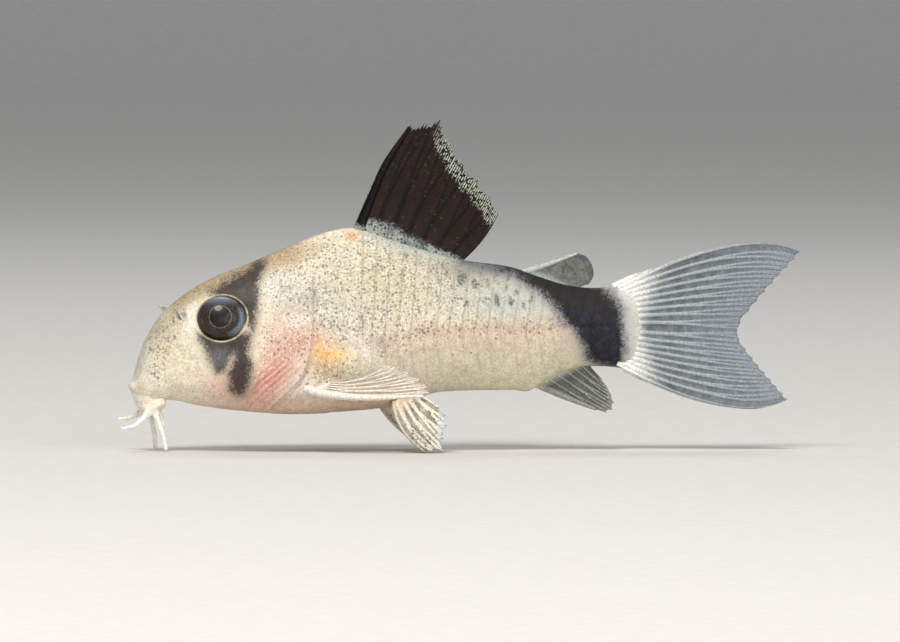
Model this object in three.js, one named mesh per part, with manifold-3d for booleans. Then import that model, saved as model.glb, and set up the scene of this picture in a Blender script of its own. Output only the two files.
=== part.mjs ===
// A panda corydoras, a small armoured catfish, at life size. It rests on its pelvic fins and barbels,
// with its head to -X, its left side to -Y and Z up. Millimetres.
import * as THREE from "three";
import { mergeVertices } from "three/addons/utils/BufferGeometryUtils.js";
import Module from "manifold-3d";

const wasm = await Module();
wasm.setup();

// Driving dimensions. While it is built, x runs back from the upper lip and z up from the floor.
const STANDARD_LENGTH = 37; // upper lip to the root of the tail fin
const GAP = 0.3; // between neighbouring pieces
const LEFT = -1;
const RIGHT = 1;

// The body's lines, each as [x, value] pairs that a smooth curve joins.
const BACK = [
  [0, 4.8], [0.2, 5.08], [0.38, 5.5], [0.52, 6.15], [0.75, 7.05], [1.05, 7.9], [1.95, 9.5], [2.85, 10.5],
  [4.6, 11.8], [6.4, 12.75], [9.1, 13.8], [11.8, 14.95], [14.5, 15.95], [16.7, 16.25], [19.9, 15.25], [24.4, 14.0],
  [28.2, 13.45], [30.6, 12.7], [32.6, 12.1], [34.6, 11.9], [37, 12.15],
];
const BELLY = [
  [0, 4.5], [0.3, 4.0], [0.7, 3.6], [1.3, 3.3], [1.8, 3.35], [2.5, 3.68], [3.6, 3.65], [4.9, 3.35], [7.9, 2.95],
  [11.9, 2.72], [17.5, 3.0], [19.4, 3.3], [21.4, 3.9], [23.2, 4.3], [28.5, 4.42], [29.7, 4.35],
  [30.9, 5.1], [32.3, 5.75], [34, 6.15], [37, 6.05],
];
const HALF_WIDTH = [
  [0, 0.5], [0.2, 0.95], [0.6, 1.35], [1.4, 1.75], [2.8, 2.35], [4.6, 3.05], [6.6, 3.6], [9.5, 4.2],
  [12.5, 4.6], [16, 4.45], [20, 3.85], [25, 2.95], [30, 2.05], [34, 1.35], [37, 0.95],
];
const WIDEST_HEIGHT = [[0, 4.65], [1, 5.2], [3, 6.3], [6, 6.9], [12, 7.0], [17, 8.0], [22, 8.7], [30, 8.95], [37, 9.05]];
const UPPER_FULLNESS = [[0, 2], [5, 2], [12, 1.95], [17, 1.75], [26, 1.8], [37, 2]];
const LOWER_FULLNESS = [[0, 2], [3, 2.3], [8, 2.7], [16, 2.7], [24, 2.2], [37, 2]];
const SECTION_SIDES = 28;

// The gill cover ends the head. Its edge leans by these amounts, as [angle round the body, lean].
const GILL_EDGE = 12.4;
const GILL_EDGE_LEAN = [[-90, -3.2], [-45, -2.3], [0, 0], [40, 0.5], [90, 1.9]];
const GILL_COVER_RISE = 0.22;
const HEAD_STATIONS = [0, 0.08, 0.22, 0.45, 0.75, 1.1, 1.6, 2.2, 3, 3.9, 4.9, 5.9, 6.9, 7.9, 8.9, 9.9, 10.9, 11.7, 12.4];

// Two rows of bony plates run along each flank and meet on the lateral line.
const FIRST_PLATE = 15;
const PLATE_PITCH = 1.0;
const PLATE_RISE = 0.15;
const PLATE_RAKE = 1.4; // how far a plate's far end lies behind its end on the lateral line
const VENT = 28.5; // where the tail begins

const EYE = { x: 6.05, z: 9.72, radius: 1.95, depth: 1.35, proud: 0.62 };
const ORBIT_RIM_RADIUS = 0.24;
const NOSTRIL = { x: 3.4, z: 9.85, radius: 0.4, hole: 0.18, height: 0.5 };

const MEMBRANE_HALF = 0.25; // half the thickness of a fin's membrane
const EDGE_HALF = 0.17;
const RAY_RIDGE = 0.14;
const RAY_WEB = 0.05; // how far the membrane falls short of the ray tips

// Maths shared by the forms.

// The value of a smooth curve through [x, value] pairs.
function along(line, x) {
  const last = line.length - 1;
  let i = 0;
  while (i < last - 1 && x > line[i + 1][0]) i++;
  const slope = (k) => {
    const a = line[Math.max(k - 1, 0)];
    const b = line[Math.min(k + 1, last)];
    return (b[1] - a[1]) / (b[0] - a[0]);
  };
  const [x0, v0] = line[i];
  const [x1, v1] = line[i + 1];
  const span = x1 - x0;
  const t = THREE.MathUtils.clamp((x - x0) / span, 0, 1);
  const t2 = t * t;
  const t3 = t2 * t;
  return (
    (2 * t3 - 3 * t2 + 1) * v0 +
    (t3 - 2 * t2 + t) * span * slope(i) +
    (3 * t2 - 2 * t3) * v1 +
    (t3 - t2) * span * slope(i + 1)
  );
}

const { degToRad, lerp, smoothstep } = THREE.MathUtils;

// 1 inside low to high, falling to 0 over the soft width at each end.
function window(value, low, high, soft) {
  return smoothstep(value, low - soft, low) * (1 - smoothstep(value, high, high + soft));
}

// How far the skin at this station and angle leans back from a plain upright section.
function lean(station, angle) {
  const edge = along(GILL_EDGE_LEAN, angle);
  const plate = (PLATE_RAKE * Math.abs(angle)) / 90;
  if (station < GILL_EDGE) return edge * Math.pow(Math.max(station, 0) / GILL_EDGE, 2.5);
  const back = lerp(edge, plate, smoothstep(station, GILL_EDGE, FIRST_PLATE + 1));
  return back * (1 - smoothstep(station, 33, STANDARD_LENGTH));
}

// How far the bony plates stand out from the skin.
function plateLift(station, angle) {
  if (station <= GILL_EDGE) {
    const cover = window(angle, -62, 30, 10) * smoothstep(station, 9.4, 10.2);
    return GILL_COVER_RISE * cover;
  }
  const row = smoothstep(Math.abs(angle), 0, 8) * (1 - smoothstep(Math.abs(angle), 76, 88));
  const girdle = window(angle, -80, 24, 8) * (1 - smoothstep(station, 14.6, 14.9));
  if (station < FIRST_PLATE) return PLATE_RISE * girdle;
  const share = ((station - FIRST_PLATE) / PLATE_PITCH) % 1;
  const ramp = share > 0.94 ? (1 - share) / 0.06 : share / 0.94;
  const bareBelly = station < 20 ? smoothstep(angle, -75, -60) : 1;
  return PLATE_RISE * ramp * row * bareBelly;
}

// A point of the plain skin. Angle 0 is the widest level, 90 the back and -90 the belly, on the given side.
function skinPoint(station, angle, side) {
  const x = station + lean(station, angle);
  const widest = along(WIDEST_HEIGHT, x);
  const up = angle >= 0;
  const reach = up ? along(BACK, x) - widest : widest - along(BELLY, x);
  const power = 2 / along(up ? UPPER_FULLNESS : LOWER_FULLNESS, x);
  const sine = Math.sin(degToRad(angle));
  const cosine = Math.max(Math.cos(degToRad(angle)), 0);
  return new THREE.Vector3(
    x,
    side * along(HALF_WIDTH, x) * Math.pow(cosine, power),
    widest + reach * Math.sign(sine) * Math.pow(Math.abs(sine), power),
  );
}

// The skin's outward direction there.
function skinNormal(station, angle, side) {
  const ds = 0.05;
  const da = 1.5;
  const a = THREE.MathUtils.clamp(angle, -90 + da, 90 - da);
  const s = Math.max(station, ds);
  const alongBody = skinPoint(s + ds, a, side).sub(skinPoint(s - ds, a, side));
  const upwards = skinPoint(s, a + da, side).sub(skinPoint(s, a - da, side));
  const normal = upwards.cross(alongBody).multiplyScalar(side).normalize();
  if (Math.abs(angle) > 90 - da) normal.setY(0).normalize();
  return normal;
}

// The skin's point and outward direction at a given x and z on one flank.
function flank(x, z, side) {
  const widest = along(WIDEST_HEIGHT, x);
  const up = z >= widest;
  const reach = up ? along(BACK, x) - widest : widest - along(BELLY, x);
  const fullness = along(up ? UPPER_FULLNESS : LOWER_FULLNESS, x);
  const sine = Math.pow(Math.min(Math.abs(z - widest) / reach, 1), fullness / 2);
  const angle = THREE.MathUtils.radToDeg(Math.asin(sine)) * (up ? 1 : -1);
  let station = x;
  for (let i = 0; i < 12; i++) station = x - lean(station, angle);
  return { point: skinPoint(station, angle, side), normal: skinNormal(station, angle, side) };
}

// Solids from rings, grids and tubes.

// A closed mesh as a solid, with its faces turned out.
function solidOf(geometry) {
  const bare = new THREE.BufferGeometry();
  bare.setAttribute("position", geometry.getAttribute("position"));
  bare.setIndex(geometry.getIndex());
  const merged = mergeVertices(bare, 1e-5);
  const index = merged.getIndex().array;
  const kept = [];
  for (let i = 0; i < index.length; i += 3) {
    const [a, b, c] = index.slice(i, i + 3);
    if (a !== b && b !== c && c !== a) kept.push(a, b, c);
  }
  const build = (triVerts) =>
    new wasm.Manifold(
      new wasm.Mesh({
        numProp: 3,
        vertProperties: new Float32Array(merged.getAttribute("position").array),
        triVerts: new Uint32Array(triVerts),
      }),
    );
  const made = build(kept);
  return made.volume() < 0 ? build(kept.reverse()) : made;
}

function geometryOf(points, triangles) {
  return new THREE.BufferGeometry().setFromPoints(points).setIndex(triangles);
}

// A solid through closed rings of points, with a fan over each end.
function loft(rings) {
  const sides = rings[0].length;
  const points = rings.flat();
  const triangles = [];
  for (let r = 0; r < rings.length - 1; r++)
    for (let i = 0; i < sides; i++) {
      const a = r * sides + i;
      const b = r * sides + ((i + 1) % sides);
      triangles.push(a, b, a + sides, b, b + sides, a + sides);
    }
  for (const [r, turn] of [[0, 1], [rings.length - 1, 0]]) {
    const middle = rings[r].reduce((sum, p) => sum.add(p), new THREE.Vector3()).divideScalar(sides);
    const centre = points.push(middle) - 1;
    for (let i = 0; i < sides; i++) {
      const a = r * sides + i;
      const b = r * sides + ((i + 1) % sides);
      triangles.push(...(turn ? [b, a, centre] : [a, b, centre]));
    }
  }
  return solidOf(geometryOf(points, triangles));
}

// A tapering round rod along a smooth curve through points, with radii from root to tip.
function rod(points, radii, { steps = 10, sides = 8 } = {}) {
  const curve = new THREE.CatmullRomCurve3(points);
  const frames = curve.computeFrenetFrames(steps, false);
  const radiusLine = radii.map((r, i) => [i / (radii.length - 1), r]);
  const rings = [];
  for (let i = 0; i <= steps; i++) {
    const t = i / steps;
    const middle = curve.getPointAt(t);
    const radius = along(radiusLine, t);
    rings.push(
      Array.from({ length: sides }, (_, k) => {
        const turn = (2 * Math.PI * k) / sides;
        return middle
          .clone()
          .addScaledVector(frames.normals[i], radius * Math.cos(turn))
          .addScaledVector(frames.binormals[i], radius * Math.sin(turn));
      }),
    );
  }
  return loft(rings);
}

function vector(x, y, z) {
  return new THREE.Vector3(x, y, z);
}

function join(first, ...others) {
  return others.reduce((sum, other) => sum.add(other), first);
}

// Only the largest closed surface of a solid.
function largest(solid) {
  return solid.decompose().sort((a, b) => b.volume() - a.volume())[0];
}

// A fin: a thin sheet through its rays, each a curve from root to tip pulled towards bend.
// The rays are ridges in the sheet's own surface, alike on both faces.
function finSheet(rays, { rows = 7, between = 2, ridge = RAY_RIDGE, web = RAY_WEB, half = MEMBRANE_HALF } = {}) {
  const curves = rays.map((ray) => new THREE.QuadraticBezierCurve3(ray.root, ray.bend, ray.tip));
  const columns = [];
  rays.forEach((ray, k) => {
    columns.push({ ray: k, share: 0, ridge });
    for (let i = 1; i <= between && k < rays.length - 1; i++)
      columns.push({ ray: k, share: i / (between + 1), ridge: 0 });
  });
  const grid = columns.map(({ ray, share }) =>
    Array.from({ length: rows + 1 }, (_, j) => {
      const v = (j / rows) * (1 - web * Math.sin(Math.PI * share));
      const near = curves[ray].getPoint(v);
      return share ? near.lerp(curves[ray + 1].getPoint(v), share) : near;
    }),
  );
  const faces = [[], []];
  grid.forEach((column, i) =>
    column.forEach((p, j) => {
      const across = grid[Math.min(i + 1, grid.length - 1)][j].clone().sub(grid[Math.max(i - 1, 0)][j]);
      const outwards = column[Math.min(j + 1, rows)].clone().sub(column[Math.max(j - 1, 0)]);
      const normal = across.cross(outwards).normalize();
      const share = j / rows;
      const thick = lerp(half, EDGE_HALF, share) + columns[i].ridge * (1 - 0.6 * share);
      faces[0].push(p.clone().addScaledVector(normal, thick));
      faces[1].push(p.clone().addScaledVector(normal, -thick));
    }),
  );
  const points = faces.flat();
  const under = faces[0].length;
  const triangles = [];
  const at = (i, j) => i * (rows + 1) + j;
  for (let i = 0; i < grid.length - 1; i++)
    for (let j = 0; j < rows; j++) {
      const [a, b, c, d] = [at(i, j), at(i + 1, j), at(i + 1, j + 1), at(i, j + 1)];
      triangles.push(a, b, c, a, c, d);
      triangles.push(a + under, c + under, b + under, a + under, d + under, c + under);
    }
  const rim = [];
  for (let i = 0; i < grid.length - 1; i++) rim.push([at(i, 0), at(i + 1, 0)], [at(i + 1, rows), at(i, rows)]);
  for (let j = 0; j < rows; j++) rim.push([at(0, j + 1), at(0, j)], [at(grid.length - 1, j), at(grid.length - 1, j + 1)]);
  for (const [a, b] of rim) triangles.push(b, a, a + under, b, a + under, b + under);
  return solidOf(geometryOf(points, triangles));
}

// A fin's rays, spread evenly from the first root to the last, to the given tips.
function raysBetween(rootAt, tips, bendAt) {
  return tips.map((tip, k) => {
    const share = k / (tips.length - 1);
    const root = rootAt(share);
    return { root, tip, bend: bendAt(root, tip, share) };
  });
}

// A bend point that bows a ray's middle by an offset.
function bowed(dx, dy, dz) {
  return (root, tip) => root.clone().lerp(tip, 0.5).add(vector(dx, dy, dz));
}

// The body.

// The closed body between two stations, grown by an amount all over.
function bodyLength(stations, grow, lift) {
  const half = SECTION_SIDES / 2;
  return loft(
    stations.map((station) =>
      Array.from({ length: SECTION_SIDES }, (_, k) => {
        const side = k < half ? LEFT : RIGHT;
        const angle = k < half ? -90 + (180 * k) / half : 90 - (180 * (k - half)) / half;
        const out = grow + lift(station, angle);
        return skinPoint(station, angle, side).addScaledVector(skinNormal(station, angle, side), out);
      }),
    ),
  );
}

// Stations that follow each plate from its foot to its lip, between two ends.
function plateStations(from, to) {
  const stations = [from];
  for (let plate = FIRST_PLATE; plate < to; plate += PLATE_PITCH)
    for (const share of [0, 0.5, 0.94]) {
      const station = plate + share * PLATE_PITCH;
      if (station > from + 0.2 && station < to - 0.2) stations.push(station);
    }
  stations.push(to);
  return stations;
}

// The whole body and the lips, grown by the gap, which every fin, barbel and eye is cut clear of.
function clearance() {
  const stations = [...HEAD_STATIONS.filter((_, i) => i % 2 === 0)];
  for (let station = GILL_EDGE + 2; station < STANDARD_LENGTH; station += 2) stations.push(station);
  stations.push(STANDARD_LENGTH, STANDARD_LENGTH + GAP);
  return join(bodyLength(stations, GAP + PLATE_RISE, () => 0), lips(GAP));
}

// The lips: a roll round the front of the mouth, and a shorter one behind it with two short lobes.
function lips(grow) {
  const upper = rod(
    [vector(1.95, -1.1, 3.3), vector(1.3, -0.95, 3.12), vector(0.95, 0, 3.3), vector(1.3, 0.95, 3.12), vector(1.95, 1.1, 3.3)],
    [0.35 + grow, 0.38 + grow, 0.35 + grow],
    { steps: 10 },
  );
  const lower = rod(
    [vector(2.0, -0.95, 3.2), vector(1.75, -0.5, 3.0), vector(1.7, 0, 2.98), vector(1.75, 0.5, 3.0), vector(2.0, 0.95, 3.2)],
    [0.28 + grow, 0.3 + grow, 0.28 + grow],
    { steps: 8 },
  );
  const lobes = [LEFT, RIGHT].map((side) =>
    rod([vector(1.85, side * 0.4, 3.1), vector(2.15, side * 0.5, 2.4), vector(2.45, side * 0.6, 1.8)], [0.32 + grow, 0.3 + grow, 0.18 + grow], {
      steps: 4,
    }),
  );
  return join(upper, lower, ...lobes);
}

// Where an eye sits: its centre, and the direction that it faces.
function eyeSeat(side) {
  const { point, normal } = flank(EYE.x, EYE.z, side);
  const axis = vector(-0.12, side, 0.1).add(normal).normalize();
  return { centre: point.clone().addScaledVector(axis, EYE.proud - EYE.depth), axis };
}

// An eyeball, flattened along its axis, with a cornea that bulges a little.
function eyeball(side, grow) {
  const { centre, axis } = eyeSeat(side);
  const profile = [];
  const steps = 10;
  for (let i = 0; i <= steps; i++) {
    const angle = -Math.PI / 2 + (Math.PI * i) / steps;
    profile.push(
      new THREE.Vector2(
        i === 0 || i === steps ? 0 : (EYE.radius + grow) * Math.cos(angle),
        (EYE.depth + grow) * Math.sin(angle),
      ),
    );
  }
  const geometry = new THREE.LatheGeometry(profile, 20);
  geometry.applyQuaternion(new THREE.Quaternion().setFromUnitVectors(vector(0, 1, 0), axis));
  geometry.translate(centre.x, centre.y, centre.z);
  return solidOf(geometry);
}

// The rim of skin round an eye.
function orbitRim(side) {
  const { centre, axis } = eyeSeat(side);
  const geometry = new THREE.TorusGeometry(EYE.radius + 0.24, ORBIT_RIM_RADIUS, 6, 24);
  geometry.applyQuaternion(new THREE.Quaternion().setFromUnitVectors(vector(0, 0, 1), axis));
  const { x, y, z } = centre.clone().addScaledVector(axis, EYE.depth - EYE.proud - 0.12);
  geometry.translate(x, y, z);
  return solidOf(geometry);
}

// A nostril's collar, with a flap that stands up, and the hole down it.
function nostril(side) {
  const { point, normal } = flank(NOSTRIL.x, NOSTRIL.z, side);
  const lip = point.clone().addScaledVector(normal, NOSTRIL.height).add(vector(-0.15, 0, 0.1));
  const foot = point.clone().addScaledVector(normal, -0.4);
  const collar = rod([foot, point, lip], [NOSTRIL.radius * 1.3, NOSTRIL.radius, NOSTRIL.radius * 0.75], { steps: 3 });
  const past = lip.clone().sub(point).add(lip);
  const hole = rod([point.clone().addScaledVector(normal, -0.25), lip, past], [NOSTRIL.hole, NOSTRIL.hole, NOSTRIL.hole], {
    steps: 2,
    sides: 6,
  });
  return { collar, hole };
}

function head() {
  let solid = bodyLength(HEAD_STATIONS, 0, plateLift).add(lips(0));
  const mouthSlot = rod(
    [vector(1.9, -0.95, 3.0), vector(1.35, -0.6, 2.95), vector(1.22, 0, 2.95), vector(1.35, 0.6, 2.95), vector(1.9, 0.95, 3.0)],
    [0.1, 0.2, 0.1],
    { steps: 8, sides: 6 },
  );
  solid = solid.subtract(mouthSlot);
  for (const side of [LEFT, RIGHT]) {
    const { collar, hole } = nostril(side);
    solid = solid.add(orbitRim(side)).subtract(eyeball(side, GAP)).add(collar).subtract(hole);
  }
  return largest(solid);
}

function trunk() {
  const start = GILL_EDGE + GAP;
  const stations = [start, start + 0.6, 13.9, ...plateStations(14.5, VENT - GAP / 2)];
  return largest(bodyLength(stations, 0, plateLift));
}

function tail() {
  return largest(bodyLength(plateStations(VENT + GAP / 2, STANDARD_LENGTH), 0, plateLift));
}

// The fins.

const onBack = (x, sunk) => vector(x, 0, along(BACK, x) - sunk);
const onBelly = (x, sunk) => vector(x, 0, along(BELLY, x) + sunk);

function dorsalFin() {
  const tips = [
    [20.75, 23.75], [21.75, 23.85], [23.0, 24.3], [23.75, 22.5], [24.7, 21.05], [25.75, 19.75],
    [26.75, 18.6], [27.35, 17.3],
  ].map(([x, z]) => vector(x, 0, z));
  const rays = raysBetween((share) => onBack(lerp(16.95, 24.2, share), 0.5), tips, (root, tip, share) =>
    root.clone().lerp(tip, 0.5).add(vector(lerp(-0.75, 0.5, share), 0, lerp(0.55, -0.45, share))),
  );
  const spine = rod([onBack(16.8, 0.6), rayPoint(rays[0], 0.25), rayPoint(rays[0], 0.6), rayPoint(rays[0], 0.97)], [0.62, 0.42, 0.34, 0.2]);
  return finSheet(rays, { rows: 7 }).add(spine);
}

function rayPoint(ray, share) {
  return new THREE.QuadraticBezierCurve3(ray.root, ray.bend, ray.tip).getPoint(share);
}

function adiposeFin() {
  const tips = [[33.3, 14.4], [34.1, 14.2], [34.5, 13.5], [34.4, 12.8], [33.9, 12.35]].map(([x, z]) => vector(x, 0, z));
  const rays = raysBetween((share) => onBack(lerp(29.3, 33.0, share), 0.4), tips, bowed(0, 0, 0.2));
  const spine = rod([onBack(29.0, 0.35), rayPoint(rays[0], 0.5), rays[0].tip], [0.42, 0.33, 0.2], { steps: 5 });
  return finSheet(rays, { rows: 4, between: 1, web: 0, ridge: RAY_RIDGE * 0.5 }).add(spine);
}

// The tail fin's tips lie on a forked edge between its two lobes.
function caudalFin() {
  const rayCount = 16;
  const upper = { x: 50.1, z: 14.55 };
  const fork = { x: 45.2, z: 8.7 };
  const lower = { x: 49.2, z: 3.75 };
  const tips = Array.from({ length: rayCount }, (_, k) => {
    const place = 1 - (2 * k) / (rayCount - 1);
    const lobe = place > 0 ? upper : lower;
    const share = Math.abs(place);
    return vector(lerp(fork.x, lobe.x, Math.pow(share, 1.15)), 0, lerp(fork.z, lobe.z, share));
  });
  const rootAt = (share) => {
    const z = lerp(11.9, 6.25, share);
    return vector(STANDARD_LENGTH - 0.3 - 0.5 * Math.pow(2 * share - 1, 2), 0, z);
  };
  const rays = raysBetween(rootAt, tips, (root, tip, share) => {
    const place = 1 - 2 * share;
    const bow = 3.0 * Math.pow(place, 3);
    return root.clone().lerp(tip, 0.5).add(vector(0.6 * Math.abs(place), 0, bow));
  });
  return finSheet(rays, { rows: 8, web: 0.02 });
}

function analFin() {
  const tips = [[34.9, 2.95], [35.7, 2.75], [36.15, 3.2], [36.0, 3.9], [35.6, 4.6], [35.15, 5.3]].map(([x, z]) => vector(x, 0, z));
  const rays = raysBetween((share) => onBelly(lerp(30.2, 34.0, share), 0.4), tips, bowed(0.1, 0, -0.25));
  const lead = rod([onBelly(30.1, 0.4), rayPoint(rays[0], 0.5), rayPoint(rays[0], 0.95)], [0.42, 0.34, 0.2], { steps: 6 });
  return finSheet(rays, { rows: 5 }).add(lead);
}

// A pectoral fin, held back along the flank, with its stout spine lowest and furthest out.
function pectoralFin(side) {
  const at = (x, y, z) => vector(x, side * y, z);
  const tips = [at(20.4, 7.0, 4.25), at(21.2, 6.8, 4.5), at(21.0, 6.5, 5.05), at(20.4, 6.15, 5.55), at(19.6, 5.85, 6.0), at(18.6, 5.55, 6.45), at(17.7, 5.3, 6.8)];
  const rays = raysBetween((share) => at(lerp(12.6, 13.9, share), lerp(4.5, 4.2, share), lerp(4.5, 5.6, share)), tips, (root, tip, share) =>
    root.clone().lerp(tip, 0.5).add(at(-0.2, 0.75, lerp(-0.55, -0.1, share))),
  );
  const spine = rod([at(11.9, 3.7, 5.0), at(12.9, 4.7, 4.45), rayPoint(rays[0], 0.45), rayPoint(rays[0], 0.98)], [0.75, 0.55, 0.45, 0.2]);
  return finSheet(rays, { rows: 6 }).add(spine);
}

// A pelvic fin, spread down and out to the floor. The right one is held closer in and further back.
function pelvicFin(side) {
  const [sweep, tuck] = side === LEFT ? [0, 0] : [1.9, 1.3];
  const at = (x, y, z, share) => vector(x + sweep * share, side * (y - tuck * share), z);
  const tips = [
    [20.8, 5.0, 0.2], [21.5, 5.1, -0.25], [22.4, 4.8, -0.25], [22.45, 4.2, 1.05], [22.9, 3.6, 1.95], [22.85, 3.0, 2.7],
  ].map(([x, y, z], k) => at(x, y, z, 1 - k / 8));
  const rootAt = (share) => at(lerp(18.95, 20.9, share), lerp(2.5, 1.9, share), lerp(3.4, 4.2, share), 0);
  const rays = raysBetween(rootAt, tips, (root, tip, share) =>
    root.clone().lerp(tip, 0.5).add(at(lerp(-0.75, 0.1, share), lerp(0.3, 0.1, share), lerp(-0.5, 0.35, share), 0)),
  );
  return finSheet(rays, { rows: 5 });
}

// The outer barbels reach forward over the floor and the inner ones stand on it.
function barbel(side, outer) {
  const at = (x, y, z) => vector(x, side * y, z);
  const outerTip = side === LEFT ? [at(0.26, 1.55, 2.02), at(-0.33, 1.8, 1.78), at(-1.05, 2.0, 1.72)] : [at(0.6, 1.5, 2.5), at(0.1, 1.8, 2.3), at(-0.48, 2.0, 2.26)];
  const path = outer
    ? [at(1.75, 0.85, 3.4), at(1.1, 1.2, 2.8), ...outerTip]
    : [at(1.6, 0.8, 3.5), at(1.7, 1.2, 2.6), at(2.0, 1.5, 1.8), at(2.22, 1.75, 1.05), at(2.33, 2.0, -0.25)];
  return rod(path, outer ? [0.42, 0.3, 0.26, 0.17] : [0.42, 0.32, 0.28, 0.25], { steps: 9, sides: 7 });
}

// Everything under the floor is cut away, which leaves small flats to stand on.
function aboveFloor(solid) {
  const slab = new THREE.BoxGeometry(100, 100, 10);
  slab.translate(STANDARD_LENGTH / 2, 0, -5);
  return solid.subtract(solidOf(slab));
}

// The finishes.

const finish = (color, roughness) => new THREE.MeshStandardMaterial({ color, roughness, metalness: 0 });
const paleSkin = () => finish(0xe3d6bd, 0.35);
const blackSkin = () => finish(0x2b2a33, 0.4);
const clearFin = () => finish(0x9a9c98, 0.4);
const darkFin = () => finish(0x2c2321, 0.45);
const barbelSkin = () => finish(0xe9e2d2, 0.4);
const eyeDark = () => finish(0x1c1718, 0.08);

// The fish.

const fish = new THREE.Group();
const clear = clearance();

function add(name, solid, material) {
  const { numProp, vertProperties, triVerts } = largest(solid).getMesh();
  const geometry = new THREE.BufferGeometry();
  const positions = [];
  for (let i = 0; i < vertProperties.length; i += numProp) positions.push(...vertProperties.slice(i, i + 3));
  geometry.setAttribute("position", new THREE.Float32BufferAttribute(positions, 3));
  geometry.setIndex(new THREE.BufferAttribute(triVerts, 1));
  geometry.computeVertexNormals();
  const mesh = new THREE.Mesh(geometry, material);
  mesh.name = name;
  fish.add(mesh);
}

add("head", head(), paleSkin());
add("trunk", trunk(), paleSkin());
add("tail", tail(), blackSkin());
add("dorsal_fin", dorsalFin().subtract(clear), darkFin());
add("adipose_fin", adiposeFin().subtract(clear), clearFin());
add("caudal_fin", caudalFin().subtract(clear), clearFin());
add("anal_fin", analFin().subtract(clear), clearFin());
for (const [side, word] of [[LEFT, "left"], [RIGHT, "right"]]) {
  add("eye_" + word, eyeball(side, 0), eyeDark());
  add("pectoral_fin_" + word, pectoralFin(side).subtract(clear), clearFin());
  add("pelvic_fin_" + word, aboveFloor(pelvicFin(side).subtract(clear)), clearFin());
  add("outer_barbel_" + word, aboveFloor(barbel(side, true).subtract(clear)), barbelSkin());
  add("inner_barbel_" + word, aboveFloor(barbel(side, false).subtract(clear)), barbelSkin());
}

// The part's origin is on the floor, under the middle of the whole fish.
const box = new THREE.Box3().setFromObject(fish);
const middle = box.getCenter(new THREE.Vector3());
fish.position.set(-middle.x, -middle.y, -box.min.z);

export default fish;
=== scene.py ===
"""A panda corydoras, a small armoured catfish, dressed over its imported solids.

All forms are laid out in millimetres in the fish's own plan: x runs back from the upper lip, y is
negative on the fish's left side and z is the height above the floor. at_home() moves them to the model.
"""
import math
from functools import partial

import bpy
import numpy as np
from mathutils import Matrix, Vector


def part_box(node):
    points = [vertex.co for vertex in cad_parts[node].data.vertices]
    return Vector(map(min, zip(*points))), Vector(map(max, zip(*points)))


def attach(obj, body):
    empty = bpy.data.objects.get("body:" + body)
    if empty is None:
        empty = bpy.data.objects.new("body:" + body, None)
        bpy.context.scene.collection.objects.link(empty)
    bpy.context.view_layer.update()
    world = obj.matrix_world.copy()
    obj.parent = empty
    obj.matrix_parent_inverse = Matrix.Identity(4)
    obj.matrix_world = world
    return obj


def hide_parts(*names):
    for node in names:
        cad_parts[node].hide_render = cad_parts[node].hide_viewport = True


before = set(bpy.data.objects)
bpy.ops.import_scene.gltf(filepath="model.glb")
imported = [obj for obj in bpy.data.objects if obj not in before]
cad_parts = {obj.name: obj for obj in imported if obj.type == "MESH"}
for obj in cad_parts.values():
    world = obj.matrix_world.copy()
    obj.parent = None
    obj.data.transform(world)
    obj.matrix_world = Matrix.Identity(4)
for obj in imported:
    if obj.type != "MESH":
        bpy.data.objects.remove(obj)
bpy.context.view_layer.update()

MM = 0.001
LEFT, RIGHT = -1, 1
STANDARD_LENGTH = 37.0  # upper lip to the root of the tail fin

tail_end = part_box("tail")[1]
flank_y = (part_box("eye_left")[0].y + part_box("eye_right")[1].y) / 2
HOME = np.array([tail_end.x / MM - STANDARD_LENGTH, flank_y / MM, 0.0])

# The camera's bearing. What is laid out as the eye sees it goes through seen().
AZIMUTH, ELEVATION = -12.0, 2.0


def at_home(points):
    """Points of the plan as metres in the model."""
    return (np.asarray(points, float) + HOME) * MM


def smooth(value, low, high):
    """0 at low and 1 at high, eased at both ends."""
    t = np.clip((value - low) / (high - low), 0, 1)
    return t * t * (3 - 2 * t)


def window(value, low, high, soft):
    """1 inside low to high, falling to 0 over the soft width at each end."""
    return smooth(value, low - soft, low) * (1 - smooth(value, high, high + soft))


def lerp(a, b, t):
    """The value at a share t of the way from a to b."""
    return a + (b - a) * t


def along(line, x):
    """The value of a smooth curve through (x, value) pairs."""
    xs, vs = np.array(line, float).T
    last = len(xs) - 1
    before, after = np.maximum(np.arange(last + 1) - 1, 0), np.minimum(np.arange(last + 1) + 1, last)
    slopes = (vs[after] - vs[before]) / (xs[after] - xs[before])
    i = np.clip(np.searchsorted(xs, x, "right") - 1, 0, last - 1)
    span = xs[i + 1] - xs[i]
    t = np.clip((x - xs[i]) / span, 0, 1)
    t2, t3 = t * t, t * t * t
    return (
        (2 * t3 - 3 * t2 + 1) * vs[i]
        + (t3 - 2 * t2 + t) * span * slopes[i]
        + (3 * t2 - 2 * t3) * vs[i + 1]
        + (t3 - t2) * span * slopes[i + 1]
    )


def unit(v):
    """Vectors in the same directions, one unit long."""
    return v / np.maximum(np.linalg.norm(v, axis=-1, keepdims=True), 1e-9)


# The body's lines

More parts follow.
